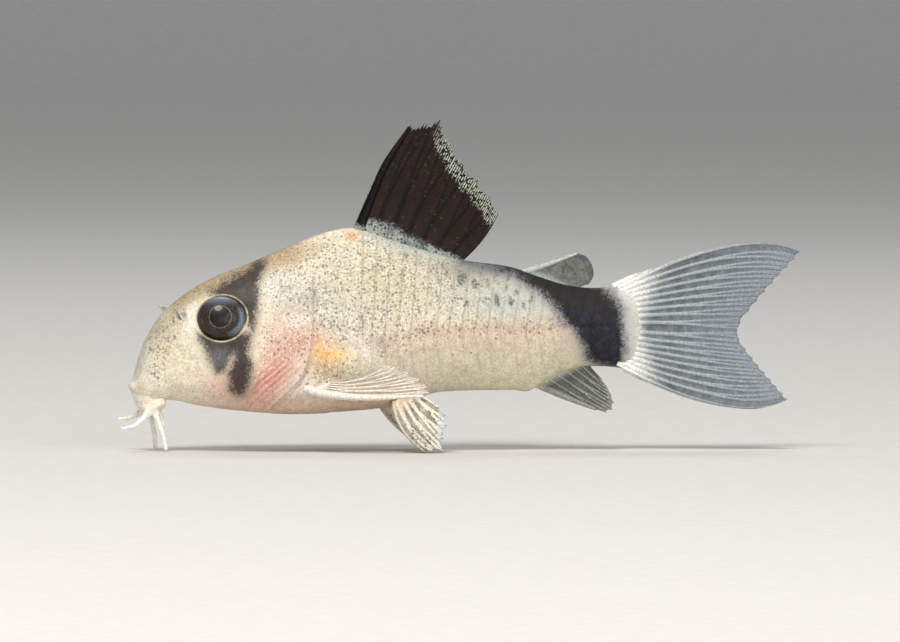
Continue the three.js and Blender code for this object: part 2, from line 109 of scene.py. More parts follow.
BACK = [
    (0, 4.8), (0.2, 5.08), (0.38, 5.5), (0.52, 6.15), (0.75, 7.05), (1.05, 7.9), (1.95, 9.5), (2.85, 10.5),
    (4.6, 11.8), (6.4, 12.75), (9.1, 13.8), (11.8, 14.95), (14.5, 15.95), (16.7, 16.25), (19.9, 15.25),
    (24.4, 14.0), (28.2, 13.45), (30.6, 12.7), (32.6, 12.1), (34.6, 11.9), (37, 12.2), (38.6, 12.75),
]
BELLY = [
    (0, 4.5), (0.3, 4.0), (0.7, 3.6), (1.3, 3.3), (1.8, 3.35), (2.5, 3.68), (3.6, 3.65), (4.9, 3.35),
    (7.9, 2.95), (11.9, 2.72), (17.5, 3.0), (19.4, 3.3), (21.4, 3.9), (23.2, 4.3), (28.5, 4.42), (29.7, 4.35),
    (30.9, 5.1), (32.3, 5.75), (34, 6.15), (37, 5.95), (38.6, 5.2),
]
HALF_WIDTH = [
    (0, 0.5), (0.2, 0.95), (0.6, 1.35), (1.4, 1.75), (2.8, 2.35), (4.6, 3.05), (6.6, 3.6), (9.5, 4.2),
    (12.5, 4.6), (16, 4.45), (20, 3.85), (25, 2.95), (30, 2.05), (34, 1.35), (37, 0.9), (38.0, 0.36),
    (38.6, 0.12),
]
WIDEST_HEIGHT = [
    (0, 4.65), (1, 5.2), (3, 6.3), (6, 6.9), (12, 7.0), (17, 8.0), (22, 8.7), (30, 8.95), (38.6, 9.05),
]
UPPER_FULLNESS = [(0, 2), (5, 2), (12, 1.95), (17, 1.75), (26, 1.8), (38.6, 2)]
LOWER_FULLNESS = [(0, 2), (3, 2.3), (8, 2.7), (16, 2.7), (24, 2.2), (38.6, 2)]
SKIN_END = 38.6  # the skin runs out over the roots of the tail fin's rays
MIDLINE = 88.5  # degrees from the widest level, beyond which the skin faces straight up or down

GILL_EDGE = 12.4
GILL_EDGE_LEAN = [(-90, -3.2), (-45, -2.3), (0, 0), (40, 0.5), (90, 1.9)]  # by angle, in millimetres back
GILL_COVER_RISE = 0.2
FIRST_PLATE = 15.0
PLATE_PITCH = 1.0
PLATE_RISE = 0.13
PLATE_RAKE = 1.4  # how far the plates' edges run back from the side line to the back and belly
LAST_PLATE = 33.0

EYE_X, EYE_Z = 6.17, 9.82
EYE_WIDE, EYE_TALL, EYE_DEPTH, EYE_PROUD = 1.84, 1.7, 1.3, 0.6
ORBIT = 1.9  # from the middle of the eye to the rim of its socket
NOSTRIL_X, NOSTRIL_Z = 3.4, 9.85


def lean(station, angle):
    """How far the skin at this station and angle leans back from an upright section."""
    edge = along(GILL_EDGE_LEAN, angle)
    ahead = edge * (np.clip(station, 0, None) / GILL_EDGE) ** 2.5
    plate = PLATE_RAKE * np.abs(angle) / 90
    behind = lerp(edge, plate, smooth(station, GILL_EDGE, FIRST_PLATE + 1))
    behind = behind * (1 - smooth(station, LAST_PLATE, STANDARD_LENGTH))
    return np.where(station < GILL_EDGE, ahead, behind)


def skin_point(station, angle, side):
    """A point of the plain skin: angle 0 is the widest level, 90 the back and -90 the belly."""
    station, angle, side = np.broadcast_arrays(station, angle, side)
    x = station + lean(station, angle)
    widest = along(WIDEST_HEIGHT, x)
    up = angle >= 0
    reach = np.where(up, along(BACK, x) - widest, widest - along(BELLY, x))
    power = 2 / np.where(up, along(UPPER_FULLNESS, x), along(LOWER_FULLNESS, x))
    sine, cosine = np.sin(np.radians(angle)), np.clip(np.cos(np.radians(angle)), 0, None)
    y = side * along(HALF_WIDTH, x) * cosine**power
    z = widest + reach * np.sign(sine) * np.abs(sine) ** power
    return np.stack([x, y, z], axis=-1)


def skin_normal(station, angle, side):
    """The way that the plain skin faces."""
    station, angle, side = np.broadcast_arrays(station, angle, side)
    a, s = np.clip(angle, -MIDLINE, MIDLINE), np.clip(station, 0.05, None)
    back = skin_point(s + 0.05, a, side) - skin_point(s - 0.05, a, side)
    upward = skin_point(s, a + 1.5, side) - skin_point(s, a - 1.5, side)
    normal = unit(np.cross(upward, back) * side[..., None])
    normal[..., 1] = np.where(np.abs(angle) > MIDLINE, 0, normal[..., 1])
    return unit(normal)


def flank(x, z, side):
    """The skin's point and outward direction at a given x and z on one flank."""
    widest = float(along(WIDEST_HEIGHT, x))
    up = z >= widest
    reach = float(along(BACK, x)) - widest if up else widest - float(along(BELLY, x))
    fullness = float(along(UPPER_FULLNESS if up else LOWER_FULLNESS, x))
    sine = min(abs(z - widest) / reach, 1) ** (fullness / 2)
    angle = math.degrees(math.asin(sine)) * (1 if up else -1)
    station = x
    for _ in range(12):  # closes in on the station whose leaning section passes x
        station = x - float(lean(np.float64(station), np.float64(angle)))
    s, a, d = (np.array([v], float) for v in (station, angle, side))
    return skin_point(s, a, d)[0], skin_normal(s, a, d)[0]


def seen(points):
    """Where points show on the side that faces the camera, in millimetres back and up."""
    turn = math.radians(-AZIMUTH)
    return points[..., 0] * math.cos(turn) + np.abs(points[..., 1]) * math.sin(turn), points[..., 2]


# Making meshes

def placed(name, data):
    """A new object in the scene."""
    made = bpy.data.objects.new(name, data)
    bpy.context.scene.collection.objects.link(made)
    return made


def piece(name, points, faces, material, replaces, values):
    """A smooth-shaded object from points in the plan, with named values on its points."""
    mesh = bpy.data.meshes.new(name)
    mesh.from_pydata(at_home(points).tolist(), [], [tuple(int(i) for i in f) for f in faces])
    mesh.validate()
    mesh.update()
    give_values(mesh, values)
    mesh.shade_smooth()
    mesh.materials.append(material)
    dress(placed(name, mesh), replaces)


def give_values(mesh, values):
    """Named numbers or colours on a mesh's points, for its material to read."""
    for key, value in values.items():
        value = np.asarray(value, np.float32)
        if value.ndim == 2:
            value = np.column_stack([value, np.ones(len(value))]).astype(np.float32)
            mesh.attributes.new(key, "FLOAT_COLOR", "POINT").data.foreach_set("color", value.ravel())
        else:
            mesh.attributes.new(key, "FLOAT", "POINT").data.foreach_set("value", value)


def dress(made, replaces):
    """Ties an object to the body, and hides the solids that it stands for."""
    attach(made, "root")
    if replaces:
        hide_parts(*replaces)


def tube_faces(rings, sides):
    """Faces of a tube of rings, closed with a fan at each end on the two points after its rings."""
    faces = []
    for r in range(rings - 1):
        for i in range(sides):
            a, b = r * sides + i, r * sides + (i + 1) % sides
            faces.append((a, b, b + sides, a + sides))
    start, end = rings * sides, rings * sides + 1
    last = (rings - 1) * sides
    for i in range(sides):
        j = (i + 1) % sides
        faces.append((j, i, start))
        faces.append((last + i, last + j, end))
    return faces


def curve_through(points, count):
    """Points evenly spaced along a smooth curve through the given ones."""
    points = np.array(points, float)
    steps = np.concatenate([[0], np.cumsum(np.linalg.norm(np.diff(points, axis=0), axis=1))])
    t = np.linspace(0, steps[-1], count)
    return np.stack([along(list(zip(steps, points[:, k])), t) for k in range(3)], axis=-1)


def rod(path, radii, count=40, sides=16):
    """A tapering round rod along a smooth curve: its points and faces."""
    middle = curve_through(path, count)
    radius = along(list(zip(np.linspace(0, 1, len(radii)), radii)), np.linspace(0, 1, count))
    ahead = unit(np.gradient(middle, axis=0))
    side = unit(np.cross(ahead, [0.13, 0.9, 0.41]))  # a way that no rod here runs
    other = np.cross(ahead, side)
    turn = np.linspace(0, 2 * np.pi, sides, endpoint=False)
    ring = side[:, None] * np.cos(turn)[None, :, None] + other[:, None] * np.sin(turn)[None, :, None]
    points = (middle[:, None] + ring * radius[:, None, None]).reshape(-1, 3)
    start = middle[0] - ahead[0] * radius[0] * 0.5
    end = middle[-1] + ahead[-1] * radius[-1] * 0.6
    points = np.vstack([points, start, end])
    return points, tube_faces(count, sides)


def gathered(parts):
    """Several (points, faces) as one."""
    points, faces, first = [], [], 0
    for p, f in parts:
        points.append(p)
        faces += [tuple(i + first for i in face) for face in f]
        first += len(p)
    return np.vstack(points), faces


# Making materials

def colour(code):
    """An sRGB hex colour as linear red, green, blue."""
    channels = [int(code[i : i + 2], 16) / 255 for i in (1, 3, 5)]
    return [c / 12.92 if c <= 0.04045 else ((c + 0.055) / 1.055) ** 2.4 for c in channels]


# The words for nodes: Blender's node, its settings, where the values given with the word go, and its output.
NODES = {
    "place": ("TexCoord", {}, (), "Object"),
    "value": ("Attribute", {}, ("attribute_name",), "Fac"),
    "tone": ("Attribute", {}, ("attribute_name",), "Color"),
    "noise": ("TexNoise", {}, ("Vector", "Scale", "Detail", "Roughness"), "Fac"),
    "cells": ("TexVoronoi", {}, ("Vector", "Scale"), ("Distance", "Color")),
    "red": ("SeparateColor", {}, ("Color",), 0),
    "step": ("MapRange", {"interpolation_type": "SMOOTHSTEP"}, (0, 1, 2, 3, 4), 0),
    "mix": ("Mix", {"data_type": "RGBA"}, (0, 6, 7), 2),
    "tint": ("Mix", {"data_type": "RGBA", "blend_type": "MULTIPLY"}, (0, 6, 7), 2),
    "bump": ("Bump", {}, ("Height", "Distance", "Normal"), 0),
    "times": ("Math", {"operation": "MULTIPLY"}, (0, 1), 0),
    "times_plus": ("Math", {"operation": "MULTIPLY_ADD"}, (0, 1, 2), 0),
    "plus": ("Math", {"operation": "ADD"}, (0, 1), 0),
    "minus": ("Math", {"operation": "SUBTRACT"}, (0, 1), 0),
    "without_sign": ("Math", {"operation": "ABSOLUTE"}, (0,), 0),
    "larger": ("Math", {"operation": "MAXIMUM"}, (0, 1), 0),
    "is_above": ("Math", {"operation": "GREATER_THAN"}, (0, 1), 0),
    "zigzag": ("Math", {"operation": "PINGPONG"}, (0, 1), 0),
}


def put(made, place, value):
    """Sets a node's own setting (in small letters), or sets or links one of its inputs."""
    if isinstance(place, str) and place.islower():
        setattr(made, place, value)
    elif isinstance(value, bpy.types.NodeSocket):
        made.id_data.links.new(value, made.inputs[place])
    else:
        made.inputs[place].default_value = (*colour(value), 1) if isinstance(value, str) else value


def node(tree, word, *values):
    """Adds the node that a word in NODES stands for, with its values set or linked."""
    kind, settings, places, output = NODES[word]
    made = tree.nodes.new("ShaderNode" + kind)
    for place, value in (*settings.items(), *zip(places, values)):
        put(made, place, value)
    return [made.outputs[o] for o in output] if isinstance(output, tuple) else made.outputs[output]


def new_material(name):
    """An empty material: the function that adds its nodes, its Principled shader and the place vector."""
    made = bpy.data.materials.new(name)
    made.use_nodes = True
    add = partial(node, made.node_tree)
    return made, add, made.node_tree.nodes["Principled BSDF"], add("place")


def set_shader(shader, **inputs):
    """Sets or links inputs of the shader, whose names are written with _ for each space."""
    for key, value in inputs.items():
        put(shader, key.replace("_", " "), value)


def sized(mm):
    """The scale of a texture whose lumps or cells are this many millimetres across."""
    return 1 / (mm * MM)


# Pigment cells: millimetres across, how many, how far each reaches in its cell, and colour. Life has them
# down to 0.05 mm, drawn here at 0.16 mm and more, so that they show.
PIGMENT_CELLS = ((0.16, 1.2, 0.72, "#8E897C"), (0.24, 0.72, 0.64, "#6E6A61"), (0.4, 0.22, 0.45, "#7F8078"))
# Glitter, painted as bright specks that stand in for glints off guanine: which value allows it, the steps
# in distance and in chance, and its colour.
GLITTER = (("glitter", (0.42, 0.12), (0.5, 0.7), "#FBF6E4"), ("gold", (0.5, 0.2), (0.5, 0.3), "#E3BC6E"))
GLITTER_GRAIN = 0.19  # millimetres, coarser than the grains of guanine in life, so that they show
SLIME_IOR = 1.34
RAY_SEGMENT = 0.35  # millimetres, about twice as long as life, so that the joints show


def fish_skin():
    """Moist fish skin over bone: thin clear slime gives a broken wet gloss, dark pigment cells show as
    specks, and guanine in the skin gives a pale granular glitter, painted into the colour as bright
    specks of painted glint."""
    made, add, shader, place = new_material("moist_fish_skin")
    mottle = add("noise", place, sized(0.6), 3.0, 0.6)
    grain = add("noise", place, sized(0.14), 2.0, 0.6)  # coarser than life, so that it shows
    shade = add("mix", add("step", mottle, 0.3, 0.7), "#ECE9E3", "#FFFFFF")
    skin = add("tint", 1.0, add("tone", "ground"), shade)
    skin = add("mix", add("step", grain, 0.35, 0.62), add("tint", 1.0, skin, "#E4DED4"), skin)

    # Painted glints: pale and gold specks where guanine would catch the light.
    far, tone = add("cells", place, sized(GLITTER_GRAIN))
    chance = add("red", tone)
    for value, near, often, metal in GLITTER:
        sparkle = add("times", add("step", far, *near), add("step", chance, *often))
        skin = add("mix", add("times", sparkle, add("value", value)), skin, metal)

    # Pigment cells in loose clumps, as many as the freckle value allows.
    freckle = add("times", add("value", "freckle"), add("step", mottle, 0.36, 0.62, 0.3, 1.15))
    for size, most, reach, dark in PIGMENT_CELLS:
        far, tone = add("cells", place, sized(size))
        chance = add("red", tone)
        there = add("is_above", add("times", freckle, most), chance)
        uneven = add("times_plus", chance, 0.35, far)
        spot = add("times", there, add("step", uneven, reach, reach * 0.45))
        skin = add("mix", add("times", spot, 0.75), skin, dark)

    # Larger smudges, one to a plate, with grainy edges.
    wander = add("times_plus", grain, 1.3, -0.65)
    ragged = add("plus", add("value", "smudge"), wander)
    smudged = add("step", ragged, 0.22, 0.75, 0.0, 0.92)
    smudged = add("times", smudged, add("step", grain, 0.34, 0.6, 0.4, 1.0))
    skin = add("mix", smudged, skin, "#565A58")

    # The black mask, as a distance in millimetres, inside positive, with a grainy edge.
    wander = add("plus", wander, add("times_plus", mottle, 0.9, -0.45))
    mask = add("step", add("plus", add("value", "mask"), wander), -0.42, 0.5)
    mask_dark = add("mix", add("step", mottle, 0.35, 0.7), "#211B1B", "#38302E")
    blue = add("times", add("value", "mask_blue"), add("step", grain, 0.36, 0.58, 0.45, 1.0))
    mask_dark = add("mix", blue, mask_dark, "#6E7178")
    skin = add("mix", add("times", mask, 0.95), skin, mask_dark)

    # The thin pale rim of the eye socket.
    from_rim = add("without_sign", add("minus", add("value", "orbit"), ORBIT + 0.015))
    rim = add("times", add("step", from_rim, 0.1, 0.02), add("step", mottle, 0.36, 0.6, 0.3, 0.85))
    skin = add("mix", rim, skin, "#CDBF98")

    # The tail band in a grey halo, marbled blue, and browner on the back.
    inside_band = add("plus", add("value", "tail_band"), wander)
    skin = add("mix", add("step", inside_band, -1.0, 0.0, 0.0, 0.5), skin, "#868C99")
    band = add("step", inside_band, -0.5, 0.55)
    marble = add("noise", place, sized(0.36), 3.0, 0.65)
    band_dark = add("mix", add("step", marble, 0.42, 0.68), "#07070B", "#1D2337")
    band_dark = add("mix", add("times", add("value", "saddle"), 0.85), band_dark, "#1D1917")
    skin = add("mix", add("times", band, 0.98), skin, band_dark)

    wet = add("step", add("noise", place, sized(0.9)), 0.3, 0.7, 0.36, 0.5)
    dry = add("times", add("larger", mask, band), 0.35)
    fine = add("bump", grain, 0.012 * MM)
    set_shader(
        shader, Base_Color=skin, Roughness=add("plus", wet, dry),
        Normal=add("bump", add("noise", place, sized(0.32)), 0.02 * MM, fine),
        IOR=1.35, Coat_Weight=0.1, Coat_Roughness=0.2, Coat_IOR=SLIME_IOR,
        Subsurface_Weight=0.18, Subsurface_Scale=0.5 * MM, Subsurface_Radius=(1.0, 0.45, 0.3),
    )
    return made


def fin_skin(
    name, membrane, ray, root, edge, *, opaque, edge_opaque=None, edge_width=0.6, freckles=0.0, lace=0,
    gloss=0.2, outer=None, root_freckles=0.0, ior=1.38,
):
    """Fin rays of segmented bone in a thin wet membrane: the rays are pale and solid, and the membrane
    between them lets light through."""
    made, add, shader, place = new_material(name)
    reach, root_share = add("value", "reach"), add("value", "root_share")
    grain = add("noise", place, sized(0.16), 2.0, 0.6)  # coarser than life, so that it shows
    mottle = add("noise", place, sized(0.8))
    bone = add("step", add("value", "on_ray"), 0.25, 0.75)
    from_joint = add("zigzag", add("value", "ray_length"), RAY_SEGMENT / 2)
    joint = add("times", add("step", from_joint, 0.05, 0.0), add("step", reach, 0.25, 0.5))
    jointed_ray = add("mix", add("times", joint, 0.45), ray, membrane)
    web = add("mix", add("step", mottle, 0.3, 0.7), add("tint", 1.0, membrane, "#B8B4B0"), membrane)
    skin = add("mix", bone, web, jointed_ray)

    far, tone = add("cells", place, sized(0.24))  # pigment cells, coarser than life, so that they show
    chance = add("red", tone)
    there = add("is_above", add("times", add("value", "freckle"), freckles), chance)
    spot = add("times", there, add("step", far, 0.5, 0.22))
    skin = add("mix", add("times", spot, 0.85), skin, "#3C3A38")

    margin = add("step", add("value", "from_edge"), edge_width, edge_width * 0.4)
    margin = add("plus", margin, add("times_plus", grain, 1.2, -0.6))
    margin = add("times", add("step", margin, 0.25, 0.75), add("value", "rear"))
    if lace:
        # The worn margin is a lace of pale ray tips with dark between them; the pale strands are also
        # painted highlights on the clear membrane of the edge.
        across = add("times_plus", add("value", "across"), lace, add("times", grain, 0.5))
        strand = add("step", add("zigzag", across, 0.5), 0.12, 0.3)
        broken = add("step", add("noise", place, sized(0.2), 1.0), 0.4, 0.5)
        margin = add("times", margin, add("times", strand, broken))
    skin = add("mix", margin, skin, edge)
    if outer:
        skin = add("mix", add("step", reach, 0.35, 0.95, 0.0, 0.7), skin, outer)

    speck = add("times", add("is_above", root_freckles, chance), add("step", far, 0.55, 0.25))
    root_tone = root
    if root_freckles:
        ragged_root = add("times_plus", grain, 0.8, add("minus", root_share, 0.4))
        root_share = add("step", ragged_root, 0.2, 0.8)
        root_tone = add("mix", add("step", mottle, 0.4, 0.62), add("tint", 1.0, root, "#C2C6C6"), root)
    skin = add("mix", root_share, skin, add("mix", speck, root_tone, "#4B4C4C"))
    skin = add("mix", add("step", grain, 0.4, 0.62), add("tint", 1.0, skin, "#DEDBD7"), skin)

    solid = add("times_plus", bone, 1 - opaque, opaque)
    if edge_opaque is not None:
        inner = add("times", solid, add("minus", 1.0, margin))
        solid = add("plus", inner, add("times", margin, edge_opaque))
    set_shader(
        shader, Base_Color=skin, Alpha=add("larger", solid, root_share),
        Roughness=add("step", mottle, 0.3, 0.7, 0.3, 0.45),
        Normal=add("bump", add("plus", grain, joint), 0.012 * MM),
        IOR=ior, Coat_Weight=gloss, Coat_Roughness=0.2, Coat_IOR=SLIME_IOR,
    )
    return made


def lip_skin():
    """Soft white skin of lips and feelers: moist, faintly rough with taste buds, and light shows through."""
    made, add, shader, place = new_material("lip_and_barbel_skin")
    mottle = add("noise", place, sized(0.5), 3.0, 0.6)
    grain = add("noise", place, sized(0.12))  # taste buds, coarser than life, so that they show
    patchy = add("step", mottle, 0.35, 0.65)
    skin = add("mix", patchy, "#E9E8E0", "#F6F7F4")
    skin = add("mix", add("value", "skin_share"), skin, add("mix", patchy, "#E3D9C3", "#F1EADB"))
    skin = add("mix", add("value", "blush"), skin, "#E9C79C")
    skin = add("mix", add("step", grain, 0.35, 0.6), add("tint", 1.0, skin, "#E6E2DA"), skin)
    set_shader(
        shader, Base_Color=skin, Roughness=add("step", mottle, 0.3, 0.7, 0.3, 0.42),
        Normal=add("bump", grain, 0.015 * MM),
        IOR=1.4, Coat_Weight=0.4, Coat_Roughness=0.12, Coat_IOR=1.35,
        Subsurface_Weight=0.3, Subsurface_Scale=0.4 * MM, Subsurface_Radius=(1.0, 0.6, 0.45),
    )
    return made


def fish_eye():
    """A fish's eye under its wet clear cornea: a round pupil, a thin gold ring, a black-brown iris with
    fine flecks and a painted grey-blue reflection over its top, and a silvery rim that turns blue-grey
    behind and below."""
    made, add, shader, place = new_material("wet_fish_eye")
    from_pupil, from_middle = add("value", "from_pupil"), add("value", "from_middle")
    grain = add("noise", place, sized(0.11), 3.0, 0.6)  # coarser than life, so that it shows
    flecks = add("noise", place, sized(0.3), 3.0, 0.6)
    iris = add("mix", add("step", grain, 0.35, 0.7), "#17110F", "#3B2E28")
    iris = add("mix", add("times", add("step", flecks, 0.58, 0.75), 0.5), iris, "#6A5844")
    # Painted reflection: soft grey-blue over the top of the iris.
    iris = add("mix", add("value", "painted_reflection"), iris, "#6E7386")
    blue_grey = add("mix", add("step", grain, 0.35, 0.65), "#62727A", "#90A2A6")
    iris = add("mix", add("value", "crescent"), iris, blue_grey)
    to_rim = add("plus", from_middle, add("times_plus", grain, 0.1, -0.05))
    iris = add("mix", add("step", to_rim, 0.93, 0.99, 0.0, 0.9), iris, "#A69C84")
    ring = add("times", add("step", from_pupil, 0.76, 0.8), add("step", from_pupil, 0.86, 0.81))
    eye = add("mix", add("times", ring, add("step", grain, 0.35, 0.65, 0.1, 0.7)), iris, "#94866C")
    eye = add("mix", add("step", from_pupil, 0.79, 0.75), eye, "#050406")
    set_shader(
        shader, Base_Color=eye, Roughness=0.5, IOR=1.35,
        Coat_Weight=0.5, Coat_Roughness=0.08, Coat_IOR=1.37,
    )
    return made


# The skin

def signed_distance(outline, x, z):
    """Millimetres inside (positive) or outside a closed outline."""
    outline = np.array(outline, float)
    best = np.full(x.shape, 1e9)
    inside = np.zeros(x.shape, bool)
    for (x0, z0), (x1, z1) in zip(outline, np.roll(outline, -1, axis=0)):
        t = np.clip(((x - x0) * (x1 - x0) + (z - z0) * (z1 - z0)) / ((x1 - x0) ** 2 + (z1 - z0) ** 2), 0, 1)
        best = np.minimum(best, np.hypot(x - lerp(x0, x1, t), z - lerp(z0, z1, t)))
        crosses = (z0 > z) != (z1 > z)
        with np.errstate(divide="ignore", invalid="ignore"):
            inside ^= crosses & (x < x0 + (z - z0) * (x1 - x0) / (z1 - z0))
    return np.clip(np.where(inside, best, -best), -3, 3)


def blob(x, z, cx, cz, rx, rz, tilt=0.0):
    """A soft patch: 1 at its middle, about a third at its radii. It tilts up towards the tail."""
    c, s = math.cos(math.radians(tilt)), math.sin(math.radians(tilt))
    u, v = (x - cx) * c + (z - cz) * s, -(x - cx) * s + (z - cz) * c
    return np.exp(-((u / rx) ** 2) - (v / rz) ** 2)


MASK_ABOVE_EYE = [
    (5.8, 11.7), (6.5, 12.2), (7.5, 12.8), (8.5, 13.3), (9.1, 13.9), (9.8, 14.0), (9.7, 13.3), (9.3, 12.3),
    (9.4, 11.4), (9.3, 10.5), (9.2, 9.6), (8.95, 8.9), (8.3, 9.6), (8.0, 10.3), (7.4, 10.9), (6.4, 11.0),
]
MASK_BELOW_EYE_FRONT = [
    (4.9, 8.7), (5.4, 7.6), (5.85, 6.6), (6.35, 5.75), (7.0, 5.95), (7.4, 6.9), (7.75, 7.2), (8.6, 7.4),
    (8.9, 8.7), (7.9, 8.8), (6.8, 8.7), (5.8, 9.0),
]
MASK_BELOW_EYE_BACK = [
    (7.3, 8.3), (7.6, 6.9), (7.15, 5.8), (7.3, 4.6), (7.9, 4.0), (8.5, 4.4), (8.85, 5.4), (8.95, 6.3),
    (8.65, 7.3), (8.8, 8.2), (8.2, 8.4),
]
TAIL_BAND = [
    (24.2, 13.9), (26.5, 13.25), (27.8, 12.85), (28.5, 12.3), (29.7, 11.6), (30.8, 10.6), (31.4, 9.6),
    (32.3, 8.9), (32.8, 7.9), (33.3, 6.8), (33.9, 6.25), (34.9, 6.0), (35.9, 6.0), (36.15, 7.3), (36.0, 8.9),
    (35.95, 10.3), (35.6, 11.1), (34.7, 11.75), (34.3, 12.5), (31.5, 13.6), (27, 14.6), (24.2, 14.8),
]
SMUDGES = [  # x, z, half width, half height and strength
    (23.98, 12.54, 0.26, 0.5, 0.95), (24.5, 10.86, 0.2, 0.26, 0.8), (26.7, 11.08, 0.24, 0.55, 1.0),
    (27.7, 10.93, 0.22, 0.42, 0.9), (28.66, 10.7, 0.18, 0.3, 0.75), (25.0, 12.3, 0.2, 0.5, 0.6),
    (25.75, 10.9, 0.16, 0.3, 0.5), (22.4, 12.6, 0.25, 0.4, 0.55), (29.4, 10.6, 0.14, 0.2, 0.4),
]
SKIN_STATIONS = 404
SKIN_SIDES = 240
CLOSER_AT_THE_SNOUT = 1.12  # power that draws the stations together towards the snout
rng = np.random.default_rng(7)


def eye_seat(side):
    """The middle of an eye and the way that it faces."""
    point, normal = flank(EYE_X, EYE_Z, side)
    axis = unit(np.array([-0.12, side, 0.1]) + normal)
    return point + axis * (EYE_PROUD - EYE_DEPTH), axis


def from_eye(points, side):
    """The way that an eye faces, and how far points are along it and, in eye-shaped rings, out from it."""
    centre, axis = eye_seat(side)
    away = points - centre
    level = away @ axis
    flat = (away - level[:, None] * axis) / np.array([1, 1, EYE_TALL / EYE_WIDE])
    return axis, level, np.linalg.norm(flat, axis=1)


def plate_share(station):
    """How far along its plate a station is: 0 at the front edge, 1 at the rear one."""
    return ((station - FIRST_PLATE) / PLATE_PITCH) % 1


def relief(station, angle):
    """How far the gill cover, the shoulder bone and the bony plates stand out, in millimetres."""
    over = window(angle, -62, 34, 12)
    cover = GILL_COVER_RISE * over * smooth(station, 9.2, 10.4) * (1 - smooth(station, 12.3, 12.44))
    groove = -0.09 * over * np.exp(-(((station - 12.56) / 0.13) ** 2))
    cheek = 0.07 * window(angle, -70, 10, 10) * smooth(station, 7.9, 8.5) * (1 - smooth(station, 9.0, 9.3))
    girdle = 0.12 * window(angle, -72, 26, 10) * smooth(station, 12.65, 12.95)
    girdle *= 1 - smooth(station, 14.5, 14.9)
    share = plate_share(station)
    ramp = np.where(share < 0.86, 0.3 + 0.7 * share / 0.86, 0.3 + 0.7 * (1 - smooth(share, 0.86, 1.0)))
    row = (0.7 + 0.3 * smooth(np.abs(angle), 0.5, 7)) * (1 - smooth(np.abs(angle), 66, 82))
    bare_belly = np.where(station < 20, smooth(angle, -76, -62), 1)
    fade = smooth(station, FIRST_PLATE - 0.3, FIRST_PLATE + 0.3) * (1 - smooth(station, 36.4, 37.2))
    plates = PLATE_RISE * lerp(1, 0.5, smooth(station, 24, 33)) * ramp * row * bare_belly * fade
    line = -0.02 * np.exp(-((angle / 3.0) ** 2)) * smooth(station, 14.5, 16) * (1 - smooth(station, 35, 37))
    return cover + groove + cheek + girdle + plates + line


def shoulder_ridge(x, z):
    """The pale curved edge of bone behind the gill."""
    return blob(x, z, 12.7, 9.6, 0.9, 0.15, 22) + blob(x, z, 13.7, 10.1, 0.6, 0.14, 40)


